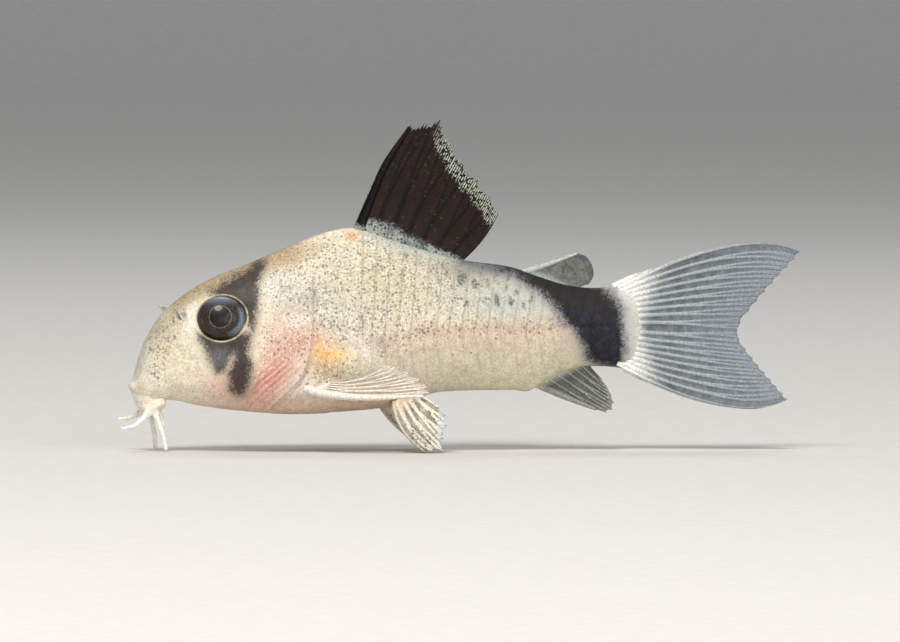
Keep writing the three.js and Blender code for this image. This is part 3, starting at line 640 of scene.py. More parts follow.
def skin_colours(points, station, angle):
    """The skin's ground colour, and how much freckle, glitter and so on each point has."""
    x, z = seen(points)
    ground = np.tile(colour("#E7E0CF"), (len(x), 1))

    def lay(share, code):
        nonlocal ground
        ground = lerp(ground, np.array(colour(code)), np.clip(share, 0, 1)[:, None])

    def patch(share, cx, cz, rx, rz, code, tilt=0.0):
        lay(share * blob(x, z, cx, cz, rx, rz, tilt), code)

    below_back = along(BACK, points[:, 0]) - points[:, 2]
    above_belly = points[:, 2] - along(BELLY, points[:, 0])
    lateral = along(WIDEST_HEIGHT, points[:, 0]) + 0.1
    from_line = points[:, 2] - lateral
    # The trunk's lower side, the pink belly and the yellowish belly line.
    lay(0.6 * smooth(x, 12, 17) * smooth(from_line, 0.2, -2.0), "#DFD8BE")
    lay(0.6 * smooth(above_belly, 3.2, 0.4) * smooth(x, 3, 7) * (1 - smooth(x, 16, 24)), "#DBB199")
    lay(0.5 * smooth(above_belly, 1.6, 0.3) * smooth(x, 22, 25), "#DDD8BA")
    # The head: cream cheek and chin (the chin painted paler as painted light on the underside), grey snout,
    # white before the eye, pale lips with a blush, a painted highlight on the snout tip, gold nape.
    patch(0.6, 3.4, 6.9, 2.2, 1.9, "#E8DEC4")
    # Painted light: the cream chin and lower cheek are painted paler, as if lit from below.
    patch(0.85, 4.4, 4.4, 3.0, 1.3, "#F8EEDF")
    patch(0.75, 1.7, 8.8, 1.2, 3.0, "#AFA890", -58)
    patch(0.95, 4.55, 9.5, 0.8, 1.9, "#F3F1EA", 8)
    patch(0.75, 1.6, 4.4, 1.4, 0.8, "#F4ECDD")
    patch(0.5, 0.75, 4.75, 0.3, 0.3, "#EBBF92")
    # A painted highlight: bluish white on the tip of the snout.
    patch(0.95, 0.1, 4.8, 0.3, 0.4, "#FAFCFD")
    lay(0.8 * smooth(below_back, 1.3, 0.15) * smooth(x, 2, 4) * (1 - smooth(x, 11, 13)), "#998456")
    patch(0.75, 11.3, 14.1, 2.3, 0.75, "#B8905F", 22)
    # The back and the upper flank: a painted bluish-white sheen on the head's top, silvery greys, cream,
    # and the orange fleck before the dorsal fin.
    # A painted sheen: bluish white where light glances off the top of the head behind the eye.
    patch(0.7, 10.9, 12.3, 1.2, 1.3, "#C9D0C9", 50)
    patch(0.7, 13.0, 11.2, 2.2, 1.2, "#BFC2BC", -10)
    patch(0.5, 18.5, 12.3, 4.5, 1.9, "#D8D0AE", -8)
    patch(0.75, 20.8, 14.75, 3.2, 0.5, "#C6D4D4", -16)
    patch(0.8, 16.0, 15.8, 0.5, 0.45, "#DFA560")
    patch(0.85, 27.0, 11.0, 4.4, 1.6, "#BFCAC5", -12)
    patch(0.6, 24.5, 13.1, 3.6, 0.55, "#8F918B", -12)
    lay(0.8 * smooth(below_back, 1.1, 0.15) * smooth(x, 22.5, 25.5), "#4E4B47")
    patch(0.7, 0.9, 6.6, 0.8, 1.8, "#D3D9D6", 12)
    # Blood shows pink through the thin bone of the gill cover, deepest along the gill.
    patch(0.75, 10.6, 6.6, 1.9, 3.0, "#E6B2A4", -30)
    patch(0.6, 12.6, 8.3, 1.6, 1.0, "#DC9587")
    patch(0.7, 10.5, 5.3, 0.6, 1.9, "#D2766A", -36)
    patch(0.55, 9.5, 5.1, 0.35, 1.4, "#CE6B60", -36)
    patch(0.5, 6.9, 5.0, 1.3, 0.8, "#E6B0A0", 30)
    # The orange patch behind the gill with painted highlights on it, and the browns and whites of the
    # shoulder bone, with a thin painted shadow line.
    patch(0.9, 14.3, 7.1, 1.15, 0.85, "#EFB660")
    # Painted highlights: pale cream and bright yellow over the orange patch.
    patch(0.8, 15.7, 7.3, 0.9, 0.7, "#FBE9BE")
    patch(0.8, 15.0, 7.2, 0.5, 0.45, "#FFD98E")
    patch(0.6, 14.6, 5.9, 1.1, 0.6, "#C4AA86", -10)
    patch(0.6, 16.4, 8.2, 1.4, 1.1, "#E3D6D0", -50)
    # Painted shadow: a thin brown upright line where a shadow edge falls.
    patch(0.35, 17.0, 9.3, 0.18, 0.9, "#B48F6C")
    patch(0.45, 18.5, 7.9, 1.0, 0.45, "#A58C76", -25)
    patch(0.75, 16.3, 8.7, 1.3, 0.17, "#F6F1EC", -53)
    patch(0.6, 17.3, 7.2, 0.9, 0.4, "#F1EEEE", -60)
    # Flesh colour along the side line, and a paler line under it.
    flesh = 0.42 * np.exp(-(((from_line + 0.1) / 0.85) ** 2)) * smooth(x, 16, 22)
    lay(flesh * (1 - smooth(x, 33, 34.5)), "#DFB296")
    paler = 0.4 * np.exp(-(((from_line + 1.3) / 0.8) ** 2)) * smooth(x, 16, 22)
    lay(paler * (1 - smooth(x, 31, 34)), "#D3C0B4")
    # Fine diagonal folds over the gill, and edges of bone that shine white at the shoulder and fin spine.
    folds = np.sin((x * 0.68 - z * 0.73) * 8.2 + 0.45 * np.sin(z * 1.1 + x * 0.9)) ** 2
    gill = blob(x, z, 11.0, 6.4, 1.9, 3.0, -32)
    lay(0.4 * smooth(folds, 0.35, 0.0) * gill * blob(x, z, 10.6, 6.0, 1.6, 1.6), "#C95F55")
    lay(0.45 * smooth(folds, 0.55, 1.0) * gill, "#F6E6DD")
    lay(shoulder_ridge(x, z), "#FAF4EC")
    patch(0.7, 10.8, 10.0, 1.8, 0.12, "#F1E4D8", -22)
    gill_rim = window(angle, -58, 12, 10) * np.exp(-(((station - 12.15) / 0.2) ** 2))
    lay(0.55 * gill_rim, "#F3E6DE")
    patch(0.85, 9.15, 7.1, 0.26, 0.95, "#EEF2CE", -24)
    patch(0.6, 6.2, 8.0, 1.6, 0.16, "#C9C3A6", -8)
    patch(0.8, 13.2, 4.5, 1.7, 0.75, "#F6EDE7", -12)
    # White behind the tail band, a painted highlight on the tail stalk's top, the dark slit of the nostril
    # painted as shade in its opening, and faint lines of painted shade at the plates' rear edges.
    lay(0.97 * smooth(x, 35.4, 35.75), "#E6E9E2")
    # Painted shade: the dark slit where the nostril opens.
    slit = np.hypot((x - 4.02) / 0.16, (z - 9.9) / 0.32)
    lay(0.75 * np.exp(-(slit**2)), "#6B665E")
    # A painted highlight: bluish white along the top of the tail stalk.
    patch(0.8, 36.6, 12.0, 1.6, 0.5, "#EEF2F3")
    # Painted shade: faint darker lines along the plates' rear edges, where each plate steps down.
    plate_edge_shade = np.exp(-(((plate_share(station) - 0.95) / 0.09) ** 2)) * smooth(x, 15, 17)
    plate_edge_shade *= 1 - smooth(x, 31, 34)
    lay(0.16 * plate_edge_shade, "#A89E88")
    orbit = np.full(len(x), 9.0)
    for side in (LEFT, RIGHT):
        _, level, far = from_eye(points, side)
        orbit = np.minimum(orbit, np.where(level > -0.5, far, 9))

    # Where pigment cells lie thick: the back, the snout, the shoulder and the side line.
    freckle = blob(x, z, 16.5, 13.0, 5.5, 2.6, -10) + 0.8 * blob(x, z, 12.8, 13.0, 2.8, 1.5, 20)
    freckle += 0.7 * blob(x, z, 22.5, 12.2, 3.8, 1.5, -12) + 0.6 * blob(x, z, 17.0, 10.2, 3.4, 1.3)
    freckle += 0.9 * blob(x, z, 2.7, 8.5, 0.7, 1.6, -24) + 0.5 * blob(x, z, 2.0, 6.4, 0.7, 1.2)
    freckle += 0.7 * smooth(below_back, 1.3, 0.2) * smooth(x, 1.5, 3) * (1 - smooth(x, 8, 10))
    freckle += 0.7 * smooth(below_back, 1.6, 0.3) * smooth(x, 22, 24) * (1 - smooth(x, 27, 29))
    freckle += 1.6 * blob(x, z, 14.4, 9.3, 1.3, 0.65, -18) + 0.7 * blob(x, z, 14.6, 5.8, 1.6, 0.9, -10)
    freckle += 0.4 * blob(x, z, 11.3, 8.0, 1.6, 1.0) + 0.7 * blob(x, z, 18.4, 7.9, 1.1, 0.5, -25)
    lateral_specks = np.exp(-(((from_line - 0.05) / 0.45) ** 2)) * smooth(x, 17, 20) * (1 - smooth(x, 31, 33))
    freckle += 0.65 * lateral_specks * (0.3 + 0.7 * (plate_share(station) > 0.55))
    freckle *= 1 - 0.9 * blob(x, z, 4.6, 9.2, 1.2, 2.4)
    # Where the painted glints of guanine lie, pale and gold.
    glitter = 0.3 + 0.5 * blob(x, z, 14.5, 8.5, 6.0, 5.0) + 0.9 * blob(x, z, 9.4, 6.9, 0.7, 1.6, -25)
    glitter *= 1 - 0.6 * smooth(x, 22, 26)
    gold = 0.85 * smooth(below_back, 1.1, 0.2) * smooth(x, 3, 5) * (1 - smooth(x, 10, 12))
    gold += 0.9 * blob(x, z, 11.2, 14.1, 2.6, 0.8, 22) + 0.9 * blob(x, z, 14.6, 7.2, 1.6, 1.1)
    gold += 0.35 * blob(x, z, 12.5, 8.0, 3.0, 1.6)

    # Grey smudges, one to a plate along the upper row and a second, fainter line under them.
    smudge = np.zeros(len(x))
    for cx, cz, rx, rz, much in SMUDGES:
        smudge += much * blob(x, z, cx, cz, rx, rz, 8)
    for k in range(13):
        middle = 20.0 + 1.04 * k + rng.uniform(-0.2, 0.2)
        top = float(along(BACK, np.float64(middle))) - 1.1 - 0.07 * k + rng.uniform(-0.25, 0.25)
        smudge += rng.uniform(0.35, 0.75) * blob(x, z, middle, top, 0.26, rng.uniform(0.3, 0.55), 12)

    outlines = (MASK_ABOVE_EYE, MASK_BELOW_EYE_FRONT, MASK_BELOW_EYE_BACK)
    mask = np.maximum.reduce([signed_distance(outline, x, z) for outline in outlines]) + 0.1
    shares = {
        "freckle": freckle, "glitter": glitter, "gold": gold, "smudge": smudge,
        "saddle": smooth(below_back, 2.4, 0.9), "mask_blue": 0.75 * blob(x, z, 6.45, 6.95, 0.75, 0.75),
    }
    band = signed_distance(TAIL_BAND, x, z)
    values = {"ground": ground, "mask": mask, "tail_band": band, "orbit": np.clip(orbit, 0, 3)}
    return {**values, **{key: np.clip(share, 0, 1) for key, share in shares.items()}}


def make_skin(material):
    """One skin over the head, the trunk and the tail stalk."""
    stations = SKIN_END * (np.linspace(0, 1, SKIN_STATIONS) ** CLOSER_AT_THE_SNOUT)
    half = SKIN_SIDES // 2
    k = np.arange(SKIN_SIDES)
    side = np.where(k < half, LEFT, RIGHT)
    angle = np.where(k < half, -90 + 180 * k / half, 90 - 180 * (k - half) / half)
    s, a, d = np.broadcast_arrays(stations[:, None], angle[None, :], side[None, :])
    bare, outward = skin_point(s, a, d), skin_normal(s, a, d)
    ridges = 0.09 * shoulder_ridge(*seen(bare))
    points = bare + outward * (relief(s, a) + ridges)[..., None]
    points = points.reshape(-1, 3)
    s, a = s.reshape(-1), a.reshape(-1)
    plain = points.copy()
    for eye_side in (LEFT, RIGHT):
        axis, level, far = from_eye(points, eye_side)
        near = (level > -0.8) & (far < 3.2)
        rim = 0.055 * np.exp(-(((far - ORBIT - 0.05) / 0.11) ** 2))
        dip = 1 - smooth(far, ORBIT - 0.42, ORBIT - 0.02)
        points += np.where(near, rim - dip, 0)[:, None] * axis
        spot, normal = flank(NOSTRIL_X, NOSTRIL_Z, eye_side)
        off = np.linalg.norm(points - spot, axis=1)
        pit = 0.12 * np.exp(-(((off - 0.42) / 0.13) ** 2)) - 0.35 * np.exp(-((off / 0.2) ** 2))
        points += pit[:, None] * normal
    ends = np.array([points[:SKIN_SIDES].mean(0), points[-SKIN_SIDES:].mean(0)])
    values = skin_colours(np.vstack([plain, ends]), np.append(s, [0, SKIN_END]), np.append(a, [0, 0]))
    faces = tube_faces(SKIN_STATIONS, SKIN_SIDES)
    piece("skin", np.vstack([points, ends]), faces, material, ("head", "trunk", "tail"), values)


# The eyes, nose and mouth

def make_eye(name, side, material):
    """An eyeball, with the distances from its pupil and its middle for the rings of colour."""
    centre, axis = eye_seat(side)
    across = unit(np.cross(axis, [0, 0, 1.0])) * side
    upward = unit(np.cross(across, axis))
    if upward[2] < 0:
        upward = -upward
    if across[0] < 0:
        across = -across
    rings, sides = 56, 96
    turn = np.linspace(0, 2 * np.pi, sides, endpoint=False)
    lift = np.linspace(-np.pi / 2, np.pi / 2, rings + 2)[1:-1]
    circle = across * EYE_WIDE * np.cos(turn)[:, None] + upward * EYE_TALL * np.sin(turn)[:, None]
    points = [centre + circle * np.cos(angle) + axis * EYE_DEPTH * np.sin(angle) for angle in lift]
    points = np.vstack(points + [centre - axis * EYE_DEPTH, centre + axis * EYE_DEPTH])
    away = points - centre
    u, v = away @ across, away @ upward
    from_pupil = np.hypot(u + 0.08, v + 0.02)
    from_middle = np.hypot(u / EYE_WIDE, v / EYE_TALL)
    turned = np.arctan2(v, u)
    crescent = smooth(from_middle, 0.64, 0.8) * smooth(np.cos(turned + 0.3), 0.5, 0.95) * 0.8
    # A painted reflection: grey-blue over the top of the eye.
    painted_reflection = 0.7 * smooth(v, 0.75, 1.45) * (1 - smooth(from_middle, 0.9, 0.98))
    front = (away @ axis) > 0
    values = {
        "from_pupil": np.where(front, from_pupil, 3), "from_middle": np.where(front, from_middle, 3),
        "crescent": crescent * front, "painted_reflection": painted_reflection * front,
    }
    faces = tube_faces(rings, sides)
    if np.dot(np.cross(across, upward), axis) < 0:
        faces = [f[::-1] for f in faces]
    piece(name, points, faces, material, (name.replace("ball", ""),), values)


def fused(name, parts, voxel_mm, material, replaces=(), rounds=3):
    """Closed forms that cross, fused into one soft skin."""
    points, faces = gathered(parts)
    mesh = bpy.data.meshes.new(name)
    mesh.from_pydata(at_home(points).tolist(), [], faces)
    made = placed(name, mesh)
    remesh = made.modifiers.new("fuse", "REMESH")
    remesh.mode, remesh.voxel_size, remesh.use_smooth_shade = "VOXEL", voxel_mm * MM, True
    soften = made.modifiers.new("soften", "SMOOTH")
    soften.factor, soften.iterations = 0.5, rounds
    bpy.context.view_layer.update()
    whole = bpy.data.meshes.new_from_object(made.evaluated_get(bpy.context.evaluated_depsgraph_get()))
    made.modifiers.clear()
    made.data = whole
    whole.materials.clear()
    whole.materials.append(material)
    whole.shade_smooth()
    dress(made, replaces)
    return made


def own_points(made):
    """An object's points, back in the plan."""
    place = np.empty(len(made.data.vertices) * 3)
    made.data.vertices.foreach_get("co", place)
    return place.reshape(-1, 3) / MM - HOME


LIP_FOLDS = [  # x, z and radius, from the top of the snout down
    (0.12, 4.76, 0.2), (0.28, 4.68, 0.3), (0.42, 4.4, 0.33),
    (0.55, 4.1, 0.36), (0.68, 3.8, 0.38), (0.8, 3.5, 0.38),
]


def make_mouth(material):
    """The lips with their four barbels and two short lobes below, as one soft skin."""
    def across(*half):
        """A path across the mouth from its left half, given as (x, how far from the middle, z)."""
        left, right = [(x, -y, z) for x, y, z in half], [(x, y, z) for x, y, z in half[-2::-1]]
        return left + right

    lower_lip = across((2.3, 1.1, 3.7), (1.3, 0.95, 3.2), (0.8, 0, 3.4))
    behind_lip = across((2.3, 0.9, 3.5), (1.85, 0.5, 3.05), (1.75, 0, 3.0))
    parts = [
        rod(lower_lip, [0.38, 0.4, 0.36, 0.4, 0.38], 60, 20),
        rod(behind_lip, [0.32, 0.32, 0.3, 0.32, 0.32], 60, 20),
    ]
    for x, z, radius in LIP_FOLDS:
        fold = across((x + 0.8, 1.05, z - 0.1), (x + 0.12, 0.6, z), (x, 0, z))
        parts.append(rod(fold, [radius] * 5, 48, 20))
    for side in (LEFT, RIGHT):
        def at(x, y, z):
            return x, side * y, z
        outer = [at(0.26, 1.55, 2.02), at(-0.33, 1.8, 1.78), at(-1.05, 2.0, 1.74)]
        if side == RIGHT:
            outer = [at(0.6, 1.5, 2.5), at(0.1, 1.8, 2.3), at(-0.48, 2.0, 2.28)]
        outer = [at(2.0, 0.7, 3.9), at(1.5, 0.95, 3.3), at(1.1, 1.2, 2.8), *outer]
        inner = [at(1.75, 0.7, 3.9), at(1.68, 1.05, 2.95), at(1.98, 1.48, 1.85), at(2.2, 1.75, 1.05)]
        inner.append(at(2.32, 1.97, 0.17))
        parts.append(rod(outer, [0.62, 0.5, 0.27, 0.2, 0.17, 0.1], 70, 18))
        parts.append(rod(inner, [0.62, 0.4, 0.22, 0.19, 0.18, 0.17], 70, 18))
        lobe = [at(1.9, 0.4, 3.3), at(2.15, 0.5, 2.5), at(2.5, 0.6, 1.8)]
        parts.append(rod(lobe, [0.4, 0.26, 0.11], 40, 16))
    replaced = [f"{which}_barbel_{word}" for which in ("outer", "inner") for word in ("left", "right")]
    mouth = fused("lips_and_barbels", parts, 0.05, material, replaced, rounds=16)
    x, _, z = own_points(mouth).T
    blush = 0.5 * np.exp(-(((x - 0.75) / 0.4) ** 2) - ((z - 4.3) / 0.4) ** 2)
    give_values(mouth.data, {"blush": blush, "skin_share": smooth(z, 2.5, 3.4) * smooth(x, 0.25, 0.9)})


def make_nose_flap(name, side, material):
    """The flap of skin behind the front nostril. The far one stands taller, to show past the snout."""
    spot, normal = flank(NOSTRIL_X, NOSTRIL_Z, side)
    along_rim = unit(np.cross(normal, [1.0, 0, 0.35]))
    parts = []
    rise, forward = (1.0, -0.15) if side == LEFT else (1.5, -0.6)
    for share, tall in ((-1, 0.16), (-0.5, 0.3), (0, 0.42), (0.5, 0.5), (1, 0.34)):
        foot = spot + along_rim * share * 0.42 + np.array([0.15, 0, -0.05]) * (1 - 0.5 * abs(share))
        tip = foot + normal * tall * rise + np.array([forward, 0, -forward]) * (1.4 + share) / 2
        parts.append(rod([foot - normal * 0.3, foot, tip], [0.16, 0.13, 0.06], 16, 12))
    made = fused(name, parts, 0.04, material)
    points = own_points(made)
    values = skin_colours(points, points[:, 0], np.full(len(points), 45.0))
    values["ground"] = lerp(values["ground"], np.array(colour("#CDD0CC")), 0.7)
    give_values(made.data, values)


# The fins

STEPS_BETWEEN_RAYS = 16
STEPS_OUT = 72
NOTCHES_BETWEEN_RAYS = 4
FRECKLE_PITCH = 0.9  # millimetres along a ray from one row of freckles to the next


def bezier(ray, t):
    """Points at shares of the way along a ray."""
    root, bend, tip = (np.array(p, float) for p in ray)
    t = np.asarray(t, float)[:, None]
    return (1 - t) ** 2 * root + 2 * t * (1 - t) * bend + t * t * tip


def ray_branches(v, branched):
    """Where a ray's branches lie at each share of its length, as shares of the space between rays."""
    if not branched:
        return np.zeros((1, len(v)))
    first, second = smooth(v, 0.32, 0.8), smooth(v, 0.68, 1.0)
    return np.stack([b * 0.23 * first + c * 0.11 * second for b in (-1, 1) for c in (-1, 1)])


def fin(
    name, rays, material, replaces, *, root_half=0.22, edge_half=0.03, ray_half=0.15,
    ray_wide=1.0, branched=True, web=0.03, fringe=0.015, extras=(), root_band=(0.0, 0.1), rear=(0.0, 1.0),
    sway=0.0, seed=1,
):
    """A fin of bony rays in a thin membrane, closed all round. Rays branch twice towards the edge.

    root_half, edge_half and ray_half are half thicknesses in millimetres. web and fringe are how far the
    membrane falls back between rays and how ragged it is, as shares of a ray. extras are rods such as
    spines, each with its radii and the shares of its length over which the root's colour fades.
    """
    chance = np.random.default_rng(seed)
    v = np.linspace(0, 1, STEPS_OUT + 1)
    last = len(rays) - 1
    columns = []
    for k in range(last + 1):
        for i in range(STEPS_BETWEEN_RAYS if k < last else 1):
            columns.append((k, i / STEPS_BETWEEN_RAYS))
    branch = [ray_branches(v, branched and 0 < k < last) for k in range(last + 1)]
    lengths = [np.linalg.norm(np.diff(bezier(r, v), axis=0), axis=1).sum() for r in rays]
    grid, ridge, length, reach, across = [], [], [], [], []
    for k, share in columns:
        ragged = fringe * (0.5 - 0.5 * math.cos(2 * math.pi * share * NOTCHES_BETWEEN_RAYS))
        ragged += fringe * chance.uniform(-0.5, 0.5)
        out = v * (1 - web * math.sin(math.pi * share) - ragged)
        near = bezier(rays[k], out)
        here, total = near, lengths[k]
        apart = np.ones(len(v))
        if k < last:
            nxt = bezier(rays[k + 1], out)
            apart = np.linalg.norm(nxt - near, axis=1)
            here = lerp(near, nxt, share)
            total = lerp(lengths[k], lengths[k + 1], share)
        width = lerp(0.15, 0.06, v) * ray_wide
        off = [np.abs(share - c) * apart for c in branch[k]]
        if k < last:
            off += [np.abs(share - 1 - c) * apart for c in branch[k + 1]]
        close = np.min(off, axis=0)
        grid.append(here)
        ridge.append(np.exp(-((close / width) ** 2)))
        length.append(total * out)
        reach.append(out)
        across.append(np.full(len(v), (k + share) / last))
    grid, ridge, length = np.array(grid), np.array(ridge) * (ray_half > 0), np.array(length)
    reach, across = np.array(reach), np.array(across)
    step_u, step_v = np.gradient(grid, axis=0), np.gradient(grid, axis=1)
    normal = unit(np.cross(step_u, step_v))
    if sway:
        grid = grid + normal * (sway * reach**2 * np.sin(across * 7.0 + 0.6))[..., None]
    half = lerp(root_half, edge_half, smooth(reach, 0, 0.35) * 0.85 + 0.15 * reach)
    half = half + ridge * ray_half * (1 - 0.72 * reach)
    half = half[..., None]
    points = np.concatenate([(grid + normal * half).reshape(-1, 3), (grid - normal * half).reshape(-1, 3)])
    n_u, n_v = grid.shape[:2]
    under = n_u * n_v
    index = np.arange(under).reshape(n_u, n_v)
    corners = index[:-1, :-1], index[1:, :-1], index[1:, 1:], index[:-1, 1:]
    a, b, c, d = (corner.ravel() for corner in corners)
    faces = list(zip(a, b, c, d)) + list(zip(a + under, d + under, c + under, b + under))
    loop = np.concatenate([index[:, 0], index[-1, 1:], index[-2::-1, -1], index[0, -2:0:-1]])
    ahead = np.roll(loop, -1)
    faces += list(zip(ahead, loop, loop + under, ahead + under))
    rows = np.sin(length * 2 * math.pi / FRECKLE_PITCH + across * 9) ** 2
    freckle = np.clip(reach * 1.6, 0, 1) * (0.45 + 0.55 * rows)
    sheet_values = {
        "on_ray": ridge, "reach": reach, "from_edge": length.max(axis=1, keepdims=True) - length,
        "ray_length": length, "freckle": freckle, "root_share": 1 - smooth(reach, *root_band),
        "rear": smooth(across, *rear), "across": across,
    }
    values = {key: np.tile(value.ravel(), 2) for key, value in sheet_values.items()}
    rings, sides = 60, 14
    for path, radii, root_fade in extras:
        rod_points, rod_faces = rod(path, radii, rings, sides)
        first = len(points)
        points = np.vstack([points, rod_points])
        faces += [tuple(i + first for i in f) for f in rod_faces]
        t = np.append(np.repeat(np.linspace(0, 1, rings), sides), [0, 1])
        rod_values = {
            "on_ray": 1.0, "reach": t, "from_edge": 3.0, "ray_length": t * 6, "freckle": 0.0,
            "root_share": 1 - smooth(t, *root_fade), "rear": 0.0, "across": 0.0,
        }
        for key, value in rod_values.items():
            values[key] = np.append(values[key], np.broadcast_to(value, len(rod_points)))
    piece(name, points, faces, material, replaces, values)


def rays_between(root_at, tips, bend_at):
    """Rays as (root, bend, tip), with roots and bends given for each ray's share of the way along the fin."""
    made = []
    for k, tip in enumerate(tips):
        share = k / (len(tips) - 1)
        root = np.array(root_at(share), float)
        made.append((root, bend_at(root, np.array(tip, float), share), np.array(tip, float)))
    return made


def halfway(root, tip, *offset):
    """The middle between a ray's root and tip, moved by an offset."""
    return lerp(root, tip, 0.5) + np.array(offset)


def on_back(x, sunk):
    """A place on the middle of the back, sunk into it by so many millimetres."""
    return x, 0.0, float(along(BACK, np.float64(x))) - sunk


def on_belly(x, sunk):
    """A place on the middle of the belly, sunk into it by so many millimetres."""
    return x, 0.0, float(along(BELLY, np.float64(x))) + sunk


def make_dorsal(material):
    """The black fin on the back, behind a stout spine with a pale line down its front."""
    tips = [
        (20.75, 0, 23.75), (21.75, 0, 23.85), (23.0, 0, 24.25), (23.75, 0, 22.5),
        (24.7, 0, 21.05), (25.75, 0, 19.75), (26.75, 0, 18.6), (27.35, 0, 17.3),
    ]
    rays = rays_between(
        lambda share: on_back(lerp(16.95, 24.2, share), 0.5), tips,
        lambda root, tip, share: halfway(root, tip, lerp(-0.75, 0.5, share), 0, lerp(0.55, -0.45, share)),
    )
    path = [on_back(16.8, 0.6), *bezier(rays[0], np.array([0.25, 0.6, 0.985]))]
    front = [np.array(p) - [r, 0, 0] for p, r in zip(path, (0.4, 0.27, 0.21, 0.08))]
    extras = [(path, [0.5, 0.33, 0.27, 0.12], (0.02, 0.16)), (front, [0.16, 0.11, 0.09, 0.05], (0.55, 1.0))]
    fin(
        "dorsal_rays", rays, material, ("dorsal_fin",), extras=extras, root_half=0.34,
        ray_half=0.07, root_band=(0.05, 0.22), rear=(0.24, 0.4), fringe=0.03, web=0.035, seed=3,
    )


def make_adipose(material):
    """The small sail behind the dorsal fin: one spine and a membrane without rays."""
    outline = [(33.3, 0, 14.42), (33.95, 0, 14.2), (34.42, 0, 13.5), (34.5, 0, 12.75), (34.15, 0, 12.15)]
    rays = rays_between(
        lambda share: on_back(lerp(29.3, 33.0, share), 0.4), curve_through(outline, 13),
        lambda root, tip, share: halfway(root, tip, 0, 0, 0.2),
    )
    path = [on_back(29.0, 0.35), *bezier(rays[0], np.array([0.5, 1.0]))]
    fin(
        "adipose_sail", rays, material, ("adipose_fin",), extras=[(path, [0.3, 0.17, 0.09], (0.3, 0.9))],
        branched=False, ray_half=0.0, web=0, fringe=0.004, root_half=0.3, edge_half=0.06,
        root_band=(0.05, 0.3), rear=(0.55, 0.2), seed=4,
    )


def make_caudal(material):
    """The forked tail fin, with short rays above and below its root and a thicker ray along each edge."""
    count = 18

    def place_of(share):
        """1 at the top of the fin and -1 at the bottom, with the outer rays closer together."""
        return math.copysign(abs(1 - 2 * share) ** 0.78, 1 - 2 * share)

    tips = []
    for k in range(count):
        place = place_of(k / (count - 1))
        lobe = (50.1, 14.55) if place > 0 else (49.2, 3.75)
        tips.append((lerp(45.2, lobe[0], abs(place) ** 1.15), 0, lerp(8.7, lobe[1], abs(place))))

    def bend(root, tip, share):
        place = place_of(share)
        return halfway(root, tip, 2.8 * place**2, 0, 3.4 * place**3)

    def root_at(share):
        place = place_of(share)
        return 36.7 - 0.5 * place**2, 0, lerp(6.25, 11.9, (1 + place) / 2)

    rays = rays_between(root_at, tips, bend)
    extras = []
    for up, edge, (root_x, root_z) in ((1, 0, (36.0, 12.0)), (-1, -1, (36.7, 6.25))):
        for j in range(4):
            start = np.array([root_x + 0.35 * j, 0, root_z - up * 0.12 * j])
            end = bezier(rays[edge], np.array([0.14 + 0.055 * j]))[0] + np.array([0, 0, up * 0.05])
            middle = lerp(start, end, 0.55) + np.array([0, 0, up * 0.1])
            extras.append(([start, middle, end], [0.24, 0.2, 0.09], (0.3, 1.0)))
        outermost = list(bezier(rays[edge], np.array([0.04, 0.35, 0.7, 0.97])))
        extras.append((outermost, [0.2, 0.12, 0.05], (0.08, 0.25)))
    fin(
        "tail_rays", rays, material, ("caudal_fin",), root_half=0.5, ray_half=0.09, ray_wide=1.3, web=0.02,
        fringe=0.004, root_band=(0.05, 0.24), extras=extras, sway=0.12, seed=5,
    )


def make_anal(material):
    """The smoky fin under the tail stalk."""
    tips = [
        (34.9, 0, 2.95), (35.55, 0, 2.75), (36.05, 0, 2.95), (36.15, 0, 3.45), (35.95, 0, 4.05),
        (35.65, 0, 4.6), (35.15, 0, 5.3),
    ]
    rays = rays_between(
        lambda share: on_belly(lerp(30.2, 34.0, share), 0.4), tips,
        lambda root, tip, share: halfway(root, tip, 0.1, 0, -0.25),
    )
    path = [on_belly(30.1, 0.4), *bezier(rays[0], np.array([0.5, 0.97]))]
    fin(
        "anal_rays", rays, material, ("anal_fin",), extras=[(path, [0.3, 0.22, 0.1], (0.02, 0.2))],
        root_band=(0.05, 0.2), root_half=0.3, ray_wide=0.7, fringe=0.02, seed=6,
    )


def make_pectoral(name, side, material):
    """A pale fin behind the gill cover, spread back along the flank from a stout white spine."""
    def at(x, y, z):
        return np.array([x, side * y, z])

    tips = [
        at(20.4, 7.0, 4.25), at(21.2, 6.8, 4.5), at(21.0, 6.5, 5.05), at(20.4, 6.15, 5.55),
        at(19.6, 5.85, 6.0), at(18.6, 5.55, 6.45), at(17.7, 5.3, 6.8),
    ]
    rays = rays_between(
        lambda share: at(lerp(12.6, 13.9, share), lerp(4.5, 4.2, share), lerp(4.5, 5.2, share)), tips,
        lambda root, tip, share: lerp(root, tip, 0.5) + at(-0.2, 0.75, lerp(-0.55, -0.7, share)),
    )
    path = [at(11.9, 3.7, 5.0), at(12.9, 4.7, 4.45), *bezier(rays[0], np.array([0.45, 1.0]))]
    fin(
        f"{name}_rays", rays, material, (name,), extras=[(path, [0.42, 0.29, 0.19, 0.08], (0.0, 0.12))],
        root_band=(0.04, 0.14), root_half=0.14, ray_half=0.06, ray_wide=0.42, web=0.05, fringe=0.02,
        seed=8 + side,
    )


